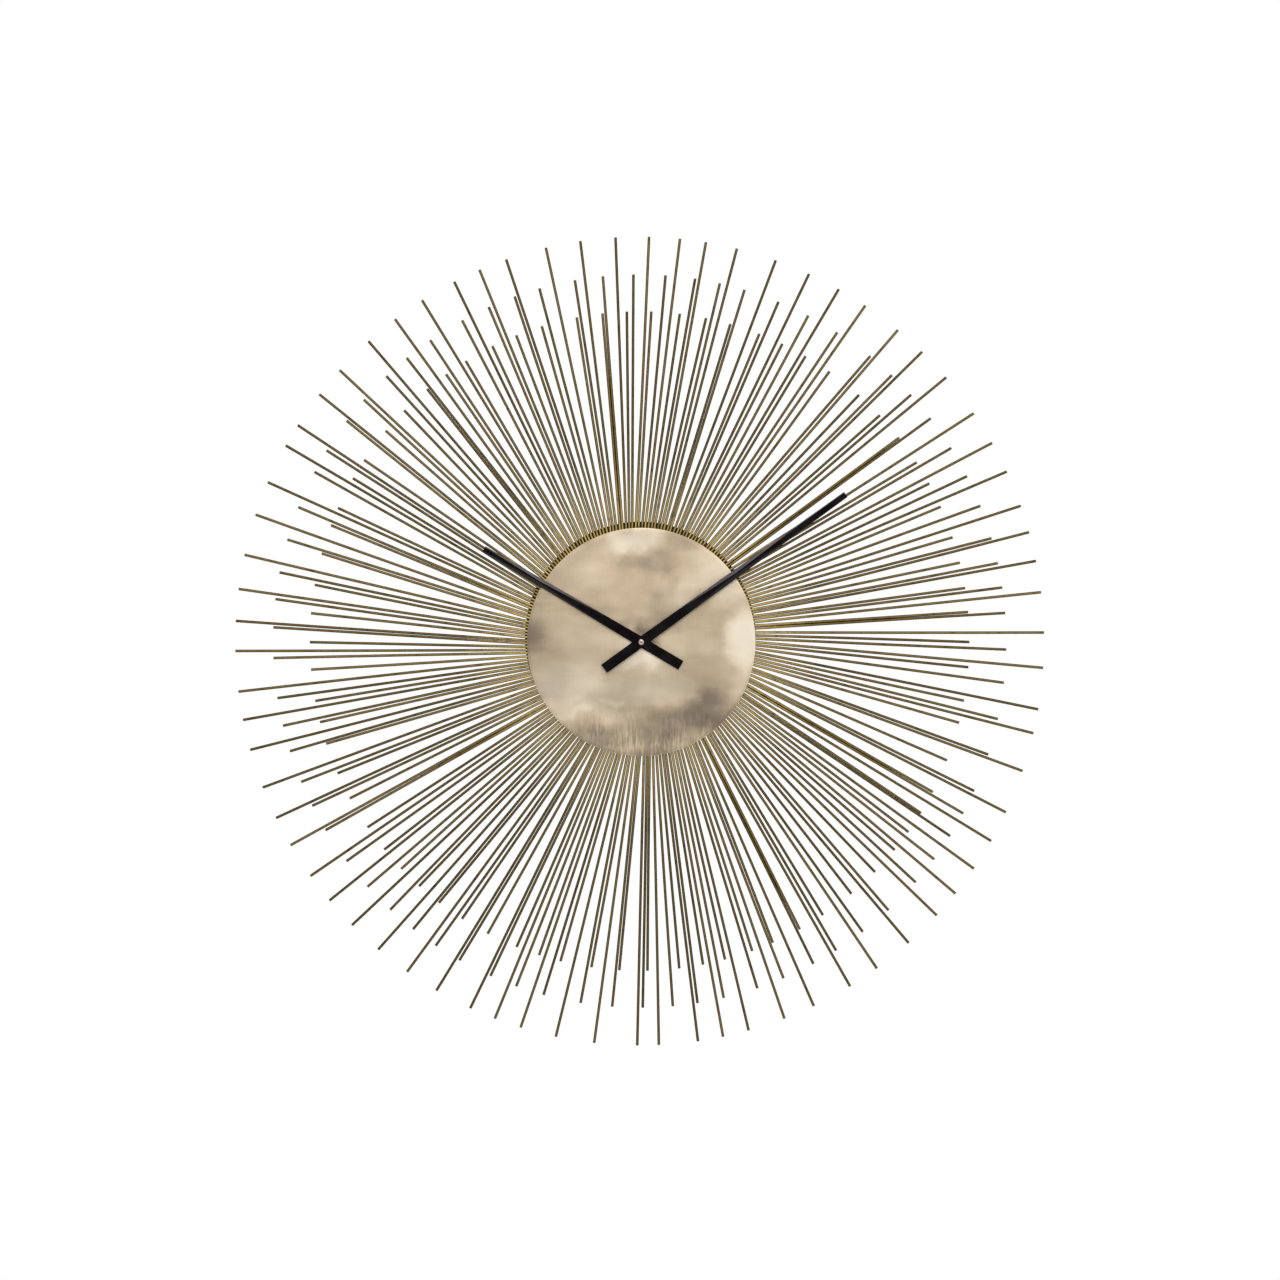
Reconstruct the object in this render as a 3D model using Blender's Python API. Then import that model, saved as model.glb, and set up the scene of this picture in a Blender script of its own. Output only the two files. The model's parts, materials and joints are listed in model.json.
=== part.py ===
"""Sunburst wall clock: a brass disc on a burst of 222 welded rods, with a quartz movement behind it.

The origin is the seat of the keyhole hanger, in the plane of the wall. +Z is up, and the clock faces -Y.
Everything hangs from the empty "dial_axis", which lies on the hands' axis in the plane of the wall.
A depth is a distance from the wall towards the room, so a point at depth d has y = -d.
A bearing is an angle clockwise from twelve o'clock, seen from the front.
"""

import math

import bmesh
import bpy
from mathutils import Matrix

MM = 0.001

# Driving sizes
CLOCK_RADIUS = 450 * MM
ROD_TIP_RADII = (367 * MM, 408 * MM, CLOCK_RADIUS)  # short, medium and long rods, in turn
ROD_RADIUS = 1.5 * MM
DISC_RADIUS = 127 * MM
KEYHOLE_RISE = 90 * MM  # from the hands' axis up to the screw that carries the clock
GAP = 0.3 * MM  # between two pieces that touch
CENTRE = (0.0, 0.0)
SUNBURST_CENTRE = (-1.8 * MM, 1.0 * MM)  # the rays sit a little off the hands' axis

# Depths from the wall
BACK_PLATE_DEPTHS = (18.0 * MM, 20.0 * MM)
RAY_DEPTHS = (20.3 * MM, 23.3 * MM)
DISC_DEPTHS = (23.6 * MM, 25.6 * MM)
HOUR_HAND_DEPTHS = (28.4 * MM, 29.6 * MM)
MINUTE_HAND_DEPTHS = (31.0 * MM, 32.2 * MM)
FRONT_DEPTH = 35.0 * MM

# The rods were welded in batches, by hand, so they stand in fans with gaps between them.
# Each bundle is one weldment of one to three fans: (rods, bearing of first tip, bearing of last tip).
RAY_BUNDLES = (
    ((8, 7, 17),),
    ((11, 19.5, 35.5),),
    ((8, 38.5, 49.5), (2, 51.5, 53)),
    ((9, 55.5, 68),),
    ((12, 70.5, 86),),
    ((6, 88.5, 96.5), (5, 99.5, 104.5), (3, 107.5, 111)),
    ((14, 114, 132.5),),
    ((5, 135, 142), (6, 144.5, 152)),
    ((6, 154.5, 161.5), (9, 164, 174.5)),
    ((4, 177.5, 180.5), (6, 183, 191.5)),
    ((9, 194, 205),),
    ((19, 207.5, 236),),
    ((8, 238.5, 249), (9, 251.5, 262.5)),
    ((12, 265.5, 282.5),),
    ((3, 285, 288), (4, 290.5, 294)),
    ((6, 297.5, 303.5), (6, 306.5, 314)),
    ((9, 316.5, 328.5),),
    ((10, 331, 344),),
    ((13, 347, 365.5),),
)
ROD_COUNT = sum(fan[0] for bundle in RAY_BUNDLES for fan in bundle)
ROD_PITCH = 360 / ROD_COUNT
FIRST_ROOT_BEARING = 3.9
TOUCHING_PITCH = 0.5  # degrees between the tips of two short rods that touch
TIP_STRAY = 0.45  # how far a tip is from its even place in the fan, as a share of its clearance

# Hub
WELD_BAR_RADII = (107 * MM, 112.5 * MM)
ROD_ROOT_EMBEDDED = 1.0 * MM
BACK_PLATE_RADIUS = 128.5 * MM
BACK_PLATE_CENTRE = (-1.0 * MM, 5.5 * MM)  # so that its edge shows above the disc, between the rods
DISC_HOLE_RADIUS = 5.0 * MM
STUD_CIRCLE = 88 * MM
STUD_HOLE_RADIUS = 2.4 * MM
STUD_BEARINGS = (60, 180, 300)
BUMPER_CIRCLE = 96 * MM
BUMPER_BEARINGS = (142, 218)
BUMPER_HOLE_RADIUS = 2.6 * MM
RIVET_SPREAD = 29 * MM
RIVET_HOLE_RADIUS = 2.3 * MM

# Movement: a square case around the hands' axis
CASE_SIDE = 56 * MM
CASE_DEPTHS = (1.0 * MM, 17.0 * MM)
CASE_WALL = 1.2 * MM
BAY_RIB = (-11.6 * MM, -10.4 * MM)  # the rib between the battery bay and the gears
COVER_DEPTHS = (1.0 * MM, 2.4 * MM)
TRAIN_PLATE_DEPTHS = (9.5 * MM, 10.3 * MM)
POST_RADIUS = 1.6 * MM  # of the three posts that hold the train plate
POST_SPOTS = ((-17 * MM, -7 * MM), (-17 * MM, 15.5 * MM), (17 * MM, 15.5 * MM))
BATTERY_RADIUS = 7.1 * MM
BATTERY_CENTRE = (-19.2 * MM, 8.4 * MM)  # height and depth of its axis
BATTERY_ENDS = (-24.8 * MM, 24.0 * MM)

# Gear layers, counted from the back cover, and the arbors' places
LAYERS = {
    "rotor": (3.2 * MM, 4.2 * MM),
    "seconds": (4.8 * MM, 5.8 * MM),
    "third": (6.4 * MM, 7.4 * MM),
    "centre": (8.0 * MM, 9.0 * MM),
    "motion": (10.8 * MM, 12.0 * MM),
    "hour": (12.6 * MM, 13.8 * MM),
}
ARBOR_RADIUS = 0.5 * MM
PIVOT_HOLE_RADIUS = 0.7 * MM
TRAIN_PIVOTS = (2.7 * MM, 9.9 * MM)  # ends of the arbors between the back cover and the train plate
MOTION_PIVOTS = (9.9 * MM, 15.4 * MM)  # ends of the arbor between the train plate and the case
MAGNET_RADIUS = 3.0 * MM
MAGNET_DEPTHS = (5.2 * MM, 8.2 * MM)
KNOB_RADIUS = 5.4 * MM
KNOB_STEM_RADIUS = 1.4 * MM

# Hands
HOUR_BEARING = 300.6
MINUTE_BEARING = 54.2
HAND_TAIL = 51 * MM
HAND_TAIL_WIDTH = 11.2 * MM
HAND_TIP_WIDTH = 7.0 * MM
HOUR_HAND_REACH = 203 * MM
MINUTE_HAND_REACH = 280 * MM
MINUTE_TUBE_RADII = (0.7 * MM, 1.5 * MM)
HOUR_PIPE_RADII = (1.7 * MM, 2.5 * MM)
BUSH_RADII = (2.7 * MM, 4.0 * MM)


def clear_scene():
    for obj in list(bpy.data.objects):
        bpy.data.objects.remove(obj, do_unlink=True)


def material(name, colour, roughness, metallic):
    made = bpy.data.materials.new(name)
    made.use_nodes = True
    shader = made.node_tree.nodes["Principled BSDF"]
    shader.inputs["Base Color"].default_value = (*colour, 1.0)
    shader.inputs["Roughness"].default_value = roughness
    shader.inputs["Metallic"].default_value = metallic
    return made


def polar(radius, bearing):
    """The (x, z) point at a bearing in degrees."""
    angle = math.radians(bearing)
    return radius * math.sin(angle), radius * math.cos(angle)


def step_from(start, distance, bearing):
    x, z = polar(distance, bearing)
    return start[0] + x, start[1] + z


def mesh_from(name, bm):
    bmesh.ops.recalc_face_normals(bm, faces=bm.faces)
    mesh = bpy.data.meshes.new(name)
    bm.to_mesh(mesh)
    bm.free()
    return mesh


def shade_round(mesh):
    mesh.shade_smooth()
    mesh.set_sharp_from_angle(angle=math.radians(35))


def place(name, mesh, look, at=CENTRE, smooth=False):
    """An object on the arbor at (x, z) from the hands' axis."""
    obj = bpy.data.objects.new(name, mesh)
    bpy.context.scene.collection.objects.link(obj)
    obj.parent = DIAL_AXIS
    obj.location = (at[0], 0.0, at[1])
    mesh.materials.clear()
    mesh.materials.append(look)
    if smooth:
        shade_round(mesh)
    return obj


def circle(radius, sides, centre=CENTRE, first=0.0):
    turns = [first + 360 * k / sides for k in range(sides)]
    return [step_from(centre, radius, bearing) for bearing in turns]


def rectangle(x0, x1, z0, z1):
    return [(x0, z0), (x1, z0), (x1, z1), (x0, z1)]


def prism(outline, depths, holes=()):
    """A flat piece: the outline, less its holes, filled and extruded from one depth to the other."""
    bm = bmesh.new()
    edges = []
    for loop in (outline, *holes):
        verts = [bm.verts.new((x, -depths[0], z)) for x, z in loop]
        edges += [bm.edges.new((verts[k - 1], verts[k])) for k in range(len(verts))]
    bmesh.ops.triangle_fill(bm, edges=edges, use_beauty=True, normal=(0, 1, 0))
    made = bmesh.ops.extrude_face_region(bm, geom=list(bm.faces))
    moved = [item for item in made["geom"] if isinstance(item, bmesh.types.BMVert)]
    bmesh.ops.translate(bm, verts=moved, vec=(0, depths[0] - depths[1], 0))
    return mesh_from("prism", bm)


def turned(profile, sides=24):
    """A turned piece around the Y axis. The profile is a closed loop of (radius, depth) points."""
    bm = bmesh.new()
    rings = []
    for radius, depth in profile:
        spots = circle(radius, sides) if radius > 0 else [CENTRE]
        rings.append([bm.verts.new((x, -depth, z)) for x, z in spots])
    for lower, upper in zip(rings, rings[1:] + rings[:1]):
        for k in range(sides):
            corners = [lower[k % len(lower)], lower[(k + 1) % len(lower)]]
            corners += [upper[(k + 1) % len(upper)], upper[k % len(upper)]]
            face = list(dict.fromkeys(corners))
            if len(face) > 2:
                bm.faces.new(face)
    return mesh_from("turned", bm)


def tube(radii, depths, sides=24):
    inner, outer = radii
    return turned([(inner, depths[0]), (outer, depths[0]), (outer, depths[1]), (inner, depths[1])], sides)


def rod(radius, depths, sides=12):
    return turned([(0, depths[0]), (radius, depths[0]), (radius, depths[1]), (0, depths[1])], sides)


def box(x, z, depths):
    return prism(rectangle(*x, *z), depths)


def moved(mesh, spot):
    """The mesh, moved from the hands' axis to the (x, z) spot."""
    mesh.transform(Matrix.Translation((spot[0], 0, spot[1])))
    return mesh


def laid_along_x(height, depth):
    """Turns a piece from the Y axis to a line along X at this height and depth."""
    return Matrix.Translation((0, -depth, height)) @ Matrix.Rotation(math.radians(90), 4, "Z")


def boolean(operation, base, others):
    """The base mesh with the other meshes joined to it or cut from it, as one new mesh."""
    body = bpy.data.objects.new("body", base)
    helpers = [bpy.data.objects.new("helper", mesh) for mesh in others]
    for obj in (body, *helpers):
        bpy.context.scene.collection.objects.link(obj)
    for helper in helpers:
        modifier = body.modifiers.new(operation, "BOOLEAN")
        modifier.operation = operation
        modifier.object = helper
        modifier.solver = "EXACT"
    graph = bpy.context.evaluated_depsgraph_get()
    result = bpy.data.meshes.new_from_object(body.evaluated_get(graph))
    for obj in (body, *helpers):
        bpy.data.objects.remove(obj, do_unlink=True)
    return result


def joined(base, *others):
    return boolean("UNION", base, others)


def cut(base, *others):
    return boolean("DIFFERENCE", base, others)


# ---- The sunburst ----


def rod_lines():
    """For each bundle, the (root bearing, tip bearing, tip radius) of each of its rods."""
    bundles = []
    index = 0
    for fans in RAY_BUNDLES:
        lines = []
        for count, first, last in fans:
            pitch = (last - first) / (count - 1)
            stray = TIP_STRAY * (pitch - TOUCHING_PITCH)
            for k in range(count):
                tip = first + pitch * k + stray * math.sin(2.4 * index)
                root = FIRST_ROOT_BEARING + ROD_PITCH * index
                lines.append((root, tip, ROD_TIP_RADII[index % len(ROD_TIP_RADII)]))
                index += 1
        bundles.append(lines)
    return bundles


def add_straight_rod(bm, start, end, depth, sides=6):
    """A capped rod from one (x, z) point to the other, at one depth."""
    run = (end[0] - start[0], end[1] - start[1])
    length = math.hypot(*run)
    across = (run[1] / length, -run[0] / length)
    rings = []
    for spot in (start, end):
        ring = []
        for k in range(sides):
            turn = 2 * math.pi * k / sides
            side, out = ROD_RADIUS * math.cos(turn), ROD_RADIUS * math.sin(turn)
            ring.append(bm.verts.new((spot[0] + across[0] * side, out - depth, spot[1] + across[1] * side)))
        rings.append(ring)
    for k in range(sides):
        after = (k + 1) % sides
        bm.faces.new((rings[0][k], rings[0][after], rings[1][after], rings[1][k]))
    bm.faces.new(rings[0])
    bm.faces.new(rings[1])


def ray_bundle(lines):
    """Rods butt-welded to the outer wall of one arc of the weld bar, which has one facet for each rod."""
    inner, outer = WELD_BAR_RADII
    middle_depth = sum(RAY_DEPTHS) / 2
    half_gap = math.degrees(GAP / 2 / outer)
    edges = [lines[0][0] + ROD_PITCH * (k - 0.5) for k in range(len(lines) + 1)]
    edges[0] += half_gap
    edges[-1] -= half_gap
    outline = [polar(outer, edge) for edge in edges] + [polar(inner, edge) for edge in reversed(edges)]
    bar = prism(outline, RAY_DEPTHS)
    rods = bmesh.new()
    for root, tip, tip_radius in lines:
        root_spot, tip_spot = polar(outer, root), polar(tip_radius, tip)
        length = math.dist(root_spot, tip_spot)
        start = [a + (a - b) * ROD_ROOT_EMBEDDED / length for a, b in zip(root_spot, tip_spot)]
        add_straight_rod(rods, start, tip_spot, middle_depth)
    return joined(bar, mesh_from("rods", rods))


def make_sunburst():
    brass = material("aged_brass_rod", (0.42, 0.34, 0.20), 0.38, 1.0)
    for number, lines in enumerate(rod_lines(), start=1):
        place(f"ray_bundle_{number:02d}", ray_bundle(lines), brass, SUNBURST_CENTRE)


# ---- The hub: disc, back plate, studs, hanger and bumpers ----


def make_dial_disc():
    brass = material("champagne_brass", (0.60, 0.51, 0.37), 0.34, 1.0)
    back, front = DISC_DEPTHS
    edge = 0.6 * MM
    profile = [
        (DISC_HOLE_RADIUS, back),
        (DISC_RADIUS, back),
        (DISC_RADIUS, front - edge),
        (DISC_RADIUS - edge, front),
        (DISC_HOLE_RADIUS, front),
    ]
    place("dial_disc", turned(profile, sides=72), brass, smooth=True)


def make_back_plate():
    steel = material("black_steel", (0.06, 0.055, 0.05), 0.55, 0.6)
    holes = [circle(BUSH_RADII[1] + GAP, 16)]
    holes += [circle(STUD_HOLE_RADIUS, 10, polar(STUD_CIRCLE, bearing)) for bearing in STUD_BEARINGS]
    holes += [circle(BUMPER_HOLE_RADIUS, 10, polar(BUMPER_CIRCLE, bearing)) for bearing in BUMPER_BEARINGS]
    holes += [circle(RIVET_HOLE_RADIUS, 10, (side * RIVET_SPREAD, KEYHOLE_RISE)) for side in (-1, 1)]
    outline = circle(BACK_PLATE_RADIUS, 72, BACK_PLATE_CENTRE)
    place("back_plate", prism(outline, BACK_PLATE_DEPTHS, holes), steel)


def make_dial_studs():
    """Shouldered studs on the back of the disc. Their nuts clamp the back plate and the rays to it."""
    steel = material("zinc_steel", (0.62, 0.62, 0.60), 0.35, 1.0)
    shoulder_top = DISC_DEPTHS[0] - GAP
    shoulder_foot = BACK_PLATE_DEPTHS[1] + GAP
    shank_end = 12.8 * MM
    chamfer = 0.4 * MM
    shank_radius, shoulder_radius = 2.0 * MM, 4.0 * MM
    nut_across_corners = 8.08 * MM
    profile = [
        (0, shank_end),
        (shank_radius - chamfer, shank_end),
        (shank_radius, shank_end + chamfer),
        (shank_radius, shoulder_foot),
        (shoulder_radius, shoulder_foot),
        (shoulder_radius, shoulder_top),
        (0, shoulder_top),
    ]
    nut_depths = (14.4 * MM, BACK_PLATE_DEPTHS[0] - GAP)
    for number, bearing in enumerate(STUD_BEARINGS, start=1):
        spot = polar(STUD_CIRCLE, bearing)
        place(f"dial_stud_{number}", turned(profile, sides=12), steel, spot, smooth=True)
        nut = prism(circle(nut_across_corners / 2, 6), nut_depths, [circle(shank_radius + GAP, 12)])
        place(f"dial_nut_{number}", nut, steel, spot)


def hanger_section(height):
    """The hanger's bent strip: flanges on the back plate, webs, and a bridge against the wall."""
    thickness = 2.0 * MM
    flange_depth = BACK_PLATE_DEPTHS[0] - GAP
    bridge, flange = 20 * MM, 37 * MM
    right = [
        (bridge, 0.0),
        (bridge, flange_depth - thickness),
        (flange, flange_depth - thickness),
        (flange, flange_depth),
        (bridge - thickness, flange_depth),
        (bridge - thickness, thickness),
    ]
    section = right + [(-x, depth) for x, depth in reversed(right)]
    bm = bmesh.new()
    face = bm.faces.new([bm.verts.new((x, -depth, height[0])) for x, depth in section])
    made = bmesh.ops.extrude_face_region(bm, geom=[face])
    moved = [item for item in made["geom"] if isinstance(item, bmesh.types.BMVert)]
    bmesh.ops.translate(bm, verts=moved, vec=(0, 0, height[1] - height[0]))
    return mesh_from("strip", bm)


def make_hanger():
    """A keyhole hanger: the screw's head enters the round hole and its shank seats at the slot's top."""
    steel = material("hanger_steel", (0.50, 0.50, 0.49), 0.4, 1.0)
    rivet_steel = material("rivet_steel", (0.66, 0.66, 0.64), 0.35, 1.0)
    slot_radius, head_radius = 2.5 * MM, 5.5 * MM
    head_drop = 13 * MM
    strip = hanger_section((KEYHOLE_RISE - 22 * MM, KEYHOLE_RISE + 11 * MM))
    reach = (-5 * MM, 6 * MM)
    slot = [step_from((0, KEYHOLE_RISE), slot_radius, 90 - 180 * k / 8) for k in range(9)]
    slot += [(-slot_radius, KEYHOLE_RISE - head_drop), (slot_radius, KEYHOLE_RISE - head_drop)]
    head_hole = circle(head_radius, 20, (0, KEYHOLE_RISE - head_drop))
    rivet_holes = [
        moved(rod(RIVET_HOLE_RADIUS, (10 * MM, 22 * MM), 10), (side * RIVET_SPREAD, KEYHOLE_RISE))
        for side in (-1, 1)
    ]
    place("hanger_bracket", cut(strip, prism(slot, reach), prism(head_hole, reach), *rivet_holes), steel)
    back, front = 15.4 * MM, BACK_PLATE_DEPTHS[1] + GAP
    head = 1.2 * MM
    shank_radius = RIVET_HOLE_RADIUS - GAP
    profile = [
        (0, back - head),
        (2.2 * MM, back - head),
        (3.6 * MM, back),
        (shank_radius, back),
        (shank_radius, front),
        (3.4 * MM, front),
        (2.4 * MM, front + head),
        (0, front + head),
    ]
    for side, name in ((-1, "left"), (1, "right")):
        spot = (side * RIVET_SPREAD, KEYHOLE_RISE)
        place(f"hanger_rivet_{name}", turned(profile, sides=12), rivet_steel, spot, smooth=True)


def make_bumpers():
    """Rubber bumpers that keep the clock parallel to the wall. A stem snaps through the back plate."""
    rubber = material("black_rubber", (0.03, 0.03, 0.03), 0.8, 0.0)
    top = BACK_PLATE_DEPTHS[0] - GAP
    barb = BACK_PLATE_DEPTHS[1] + GAP
    barb_end = barb + 2.0 * MM
    stem_radius = BUMPER_HOLE_RADIUS - GAP
    profile = [
        (0, 0.0),
        (7.0 * MM, 0.0),
        (8.0 * MM, 1.0 * MM),
        (9.5 * MM, top),
        (stem_radius, top),
        (stem_radius, barb),
        (3.2 * MM, barb + 0.3 * MM),
        (1.8 * MM, barb_end),
        (0, barb_end),
    ]
    for name, bearing in zip(("right", "left"), BUMPER_BEARINGS):
        spot = polar(BUMPER_CIRCLE, bearing)
        place(f"wall_bumper_{name}", turned(profile, sides=16), rubber, spot, smooth=True)


# ---- Gears ----


def gear_outline(teeth, module, phase):
    """Teeth with straight flanks and backlash. One tooth is centred on the phase, a bearing."""
    pitch = 360 / teeth
    pitch_radius = teeth * module / 2
    root, tip = pitch_radius - 1.1 * module, pitch_radius + 0.8 * module
    half_root, half_tip = 0.28, 0.11  # half a tooth's thickness, as a share of the pitch
    corners = ((root, -half_root), (tip, -half_tip), (tip, half_tip), (root, half_root))
    return [polar(radius, phase + pitch * (k + share)) for k in range(teeth) for radius, share in corners]


def mating_phase(teeth, phase, mate_teeth, bearing):
    """The phase of a gear that meshes with a given one and lies at the bearing from it."""
    share = (bearing - phase) * teeth / 360 % 1
    return bearing + 180 + (share + 0.5) * 360 / mate_teeth


def module_for(distance, *teeth):
    return 2 * distance / sum(teeth)


def gear(teeth, module, phase, layer, bore=0.0):
    holes = [circle(bore, 12)] if bore else []
    return prism(gear_outline(teeth, module, phase), LAYERS[layer], holes)


class Mesh:
    """Two meshing gears: the teeth, centre distance and bearing from the first arbor to the second."""

    def __init__(self, first_teeth, second_teeth, distance, bearing, first_phase=None):
        self.first_teeth, self.second_teeth = first_teeth, second_teeth
        self.distance, self.bearing = distance, bearing
        self.module = module_for(distance, first_teeth, second_teeth)
        self.first_phase = bearing if first_phase is None else first_phase
        self.second_phase = mating_phase(first_teeth, self.first_phase, second_teeth, bearing)

    def first(self, layer, bore=0.0):
        return gear(self.first_teeth, self.module, self.first_phase, layer, bore)

    def second(self, layer, bore=0.0):
        return gear(self.second_teeth, self.module, self.second_phase, layer, bore)


SECONDS_TO_INTERMEDIATE = Mesh(48, 8, 9.2 * MM, 45)
INTERMEDIATE_TO_ROTOR = Mesh(40, 8, 8.4 * MM, 20)
SECONDS_TO_THIRD = Mesh(8, 60, 9.0 * MM, 300)
CENTRE_TO_THIRD = Mesh(64, 8, 9.0 * MM, 300)
CANNON_TO_MOTION = Mesh(10, 30, 10.0 * MM, 80)
HOUR_TO_MOTION = Mesh(32, 8, 10.0 * MM, 80)
MOTION_TO_KNOB = Mesh(30, 15, 11.25 * MM, 110, CANNON_TO_MOTION.second_phase)

INTERMEDIATE_ARBOR = step_from(CENTRE, SECONDS_TO_INTERMEDIATE.distance, SECONDS_TO_INTERMEDIATE.bearing)
ROTOR_ARBOR = step_from(INTERMEDIATE_ARBOR, INTERMEDIATE_TO_ROTOR.distance, INTERMEDIATE_TO_ROTOR.bearing)
THIRD_ARBOR = step_from(CENTRE, SECONDS_TO_THIRD.distance, SECONDS_TO_THIRD.bearing)
MOTION_ARBOR = step_from(CENTRE, CANNON_TO_MOTION.distance, CANNON_TO_MOTION.bearing)
KNOB_ARBOR = step_from(MOTION_ARBOR, MOTION_TO_KNOB.distance, MOTION_TO_KNOB.bearing)


def make_going_train():
    """The wheels that the motor drives: rotor, intermediate, seconds, third and centre wheel."""
    resin = material("train_resin", (0.80, 0.78, 0.70), 0.45, 0.0)
    magnet = material("rotor_magnet", (0.20, 0.20, 0.21), 0.4, 0.7)
    rotor = joined(
        rod(ARBOR_RADIUS, TRAIN_PIVOTS, 8),
        INTERMEDIATE_TO_ROTOR.second("rotor"),
        rod(MAGNET_RADIUS, MAGNET_DEPTHS, 16),
    )
    place("rotor", rotor, magnet, ROTOR_ARBOR)
    intermediate = joined(
        rod(ARBOR_RADIUS, TRAIN_PIVOTS, 8),
        INTERMEDIATE_TO_ROTOR.first("rotor"),
        SECONDS_TO_INTERMEDIATE.second("seconds"),
    )
    place("intermediate_wheel", intermediate, resin, INTERMEDIATE_ARBOR)
    seconds = joined(
        rod(ARBOR_RADIUS, (TRAIN_PIVOTS[0], MINUTE_HAND_DEPTHS[0]), 8),
        SECONDS_TO_INTERMEDIATE.first("seconds"),
        SECONDS_TO_THIRD.first("third"),
    )
    place("seconds_wheel", seconds, resin)
    third = joined(
        rod(ARBOR_RADIUS, TRAIN_PIVOTS, 8),
        SECONDS_TO_THIRD.second("third"),
        CENTRE_TO_THIRD.second("centre"),
    )
    place("third_wheel", third, resin, THIRD_ARBOR)
    clutch_bore = MINUTE_TUBE_RADII[1] + 0.15 * MM
    place("centre_wheel", CENTRE_TO_THIRD.first("centre", bore=clutch_bore), resin)


def make_motion_work():
    """The minute arbor, the 12 to 1 reduction to the hour wheel, and the knob that sets the time."""
    resin = material("motion_resin", (0.75, 0.72, 0.66), 0.45, 0.0)
    brass = material("arbor_brass", (0.75, 0.62, 0.36), 0.3, 1.0)
    knob_black = material("knob_black", (0.04, 0.04, 0.04), 0.5, 0.0)
    cannon = CANNON_TO_MOTION.first("motion", bore=1.1 * MM)
    minute = joined(tube(MINUTE_TUBE_RADII, (7.8 * MM, 33.6 * MM), 16), cannon)
    place("minute_arbor", minute, brass)
    motion = joined(
        rod(ARBOR_RADIUS, MOTION_PIVOTS, 8),
        CANNON_TO_MOTION.second("motion"),
        HOUR_TO_MOTION.second("hour"),
    )
    place("motion_wheel", motion, resin, MOTION_ARBOR)
    hour_gear = HOUR_TO_MOTION.first("hour", bore=2.1 * MM)
    hour = joined(tube(HOUR_PIPE_RADII, (LAYERS["hour"][0], HOUR_HAND_DEPTHS[1] + 0.4 * MM), 20), hour_gear)
    place("hour_wheel", hour, resin)
    head_depths = (1.2 * MM, 2.8 * MM)
    ridges = 14
    knurl = [polar(KNOB_RADIUS - (k % 2) * 0.4 * MM, 180 * k / ridges) for k in range(2 * ridges)]
    knob = joined(
        prism(knurl, head_depths),
        rod(KNOB_STEM_RADIUS, (head_depths[0] + 0.8 * MM, MOTION_PIVOTS[1]), 12),
        MOTION_TO_KNOB.second("motion"),
    )
    place("setting_knob", knob, knob_black, KNOB_ARBOR)


# ---- The movement's case, motor and battery ----


def make_case():
    black = material("movement_black", (0.025, 0.025, 0.028), 0.45, 0.0)
    half = CASE_SIDE / 2
    inside = half - CASE_WALL
    back, front = CASE_DEPTHS
    floor = front - CASE_WALL
    block = box((-half, half), (-half, half), CASE_DEPTHS)
    clearance = 1 * MM  # that a cutter reaches past the wall it cuts
    battery_bay = box((-inside, inside), (-inside, BAY_RIB[0]), (back - clearance, floor))
    gear_bay = box((-inside, inside), (BAY_RIB[1], inside), (back - clearance, floor))
    bush_hole = rod(BUSH_RADII[1] + GAP, (floor - clearance, front + clearance), 16)
    shell = cut(block, battery_bay, gear_bay, bush_hole)
    post_depths = (TRAIN_PLATE_DEPTHS[1] + GAP, floor + CASE_WALL / 2)
    posts = [moved(rod(POST_RADIUS, post_depths, 8), spot) for spot in POST_SPOTS]
    place("movement_front_case", joined(shell, *posts), black)

    cover_half = inside - GAP
    outline = rectangle(-cover_half, cover_half, BAY_RIB[1] + GAP, cover_half)
    knob_hole = circle(KNOB_RADIUS + 0.4 * MM, 20, KNOB_ARBOR)
    place("movement_rear_cover", prism(outline, COVER_DEPTHS, [knob_hole]), black)

    clear = material("train_plate_resin", (0.55, 0.60, 0.60), 0.3, 0.0)
    plate_outline = rectangle(-19 * MM, 19 * MM, -9.5 * MM, 17.6 * MM)
    arbors = (ROTOR_ARBOR, INTERMEDIATE_ARBOR, THIRD_ARBOR, MOTION_ARBOR)
    pivots = [circle(PIVOT_HOLE_RADIUS, 8, spot) for spot in arbors]
    pivots.append(circle(MINUTE_TUBE_RADII[1] + 0.4 * MM, 12))
    knob_notch = moved(rod(KNOB_STEM_RADIUS + 0.6 * MM, (9 * MM, 11 * MM), 10), KNOB_ARBOR)
    place("train_plate", cut(prism(plate_outline, TRAIN_PLATE_DEPTHS, pivots), knob_notch), clear)


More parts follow.
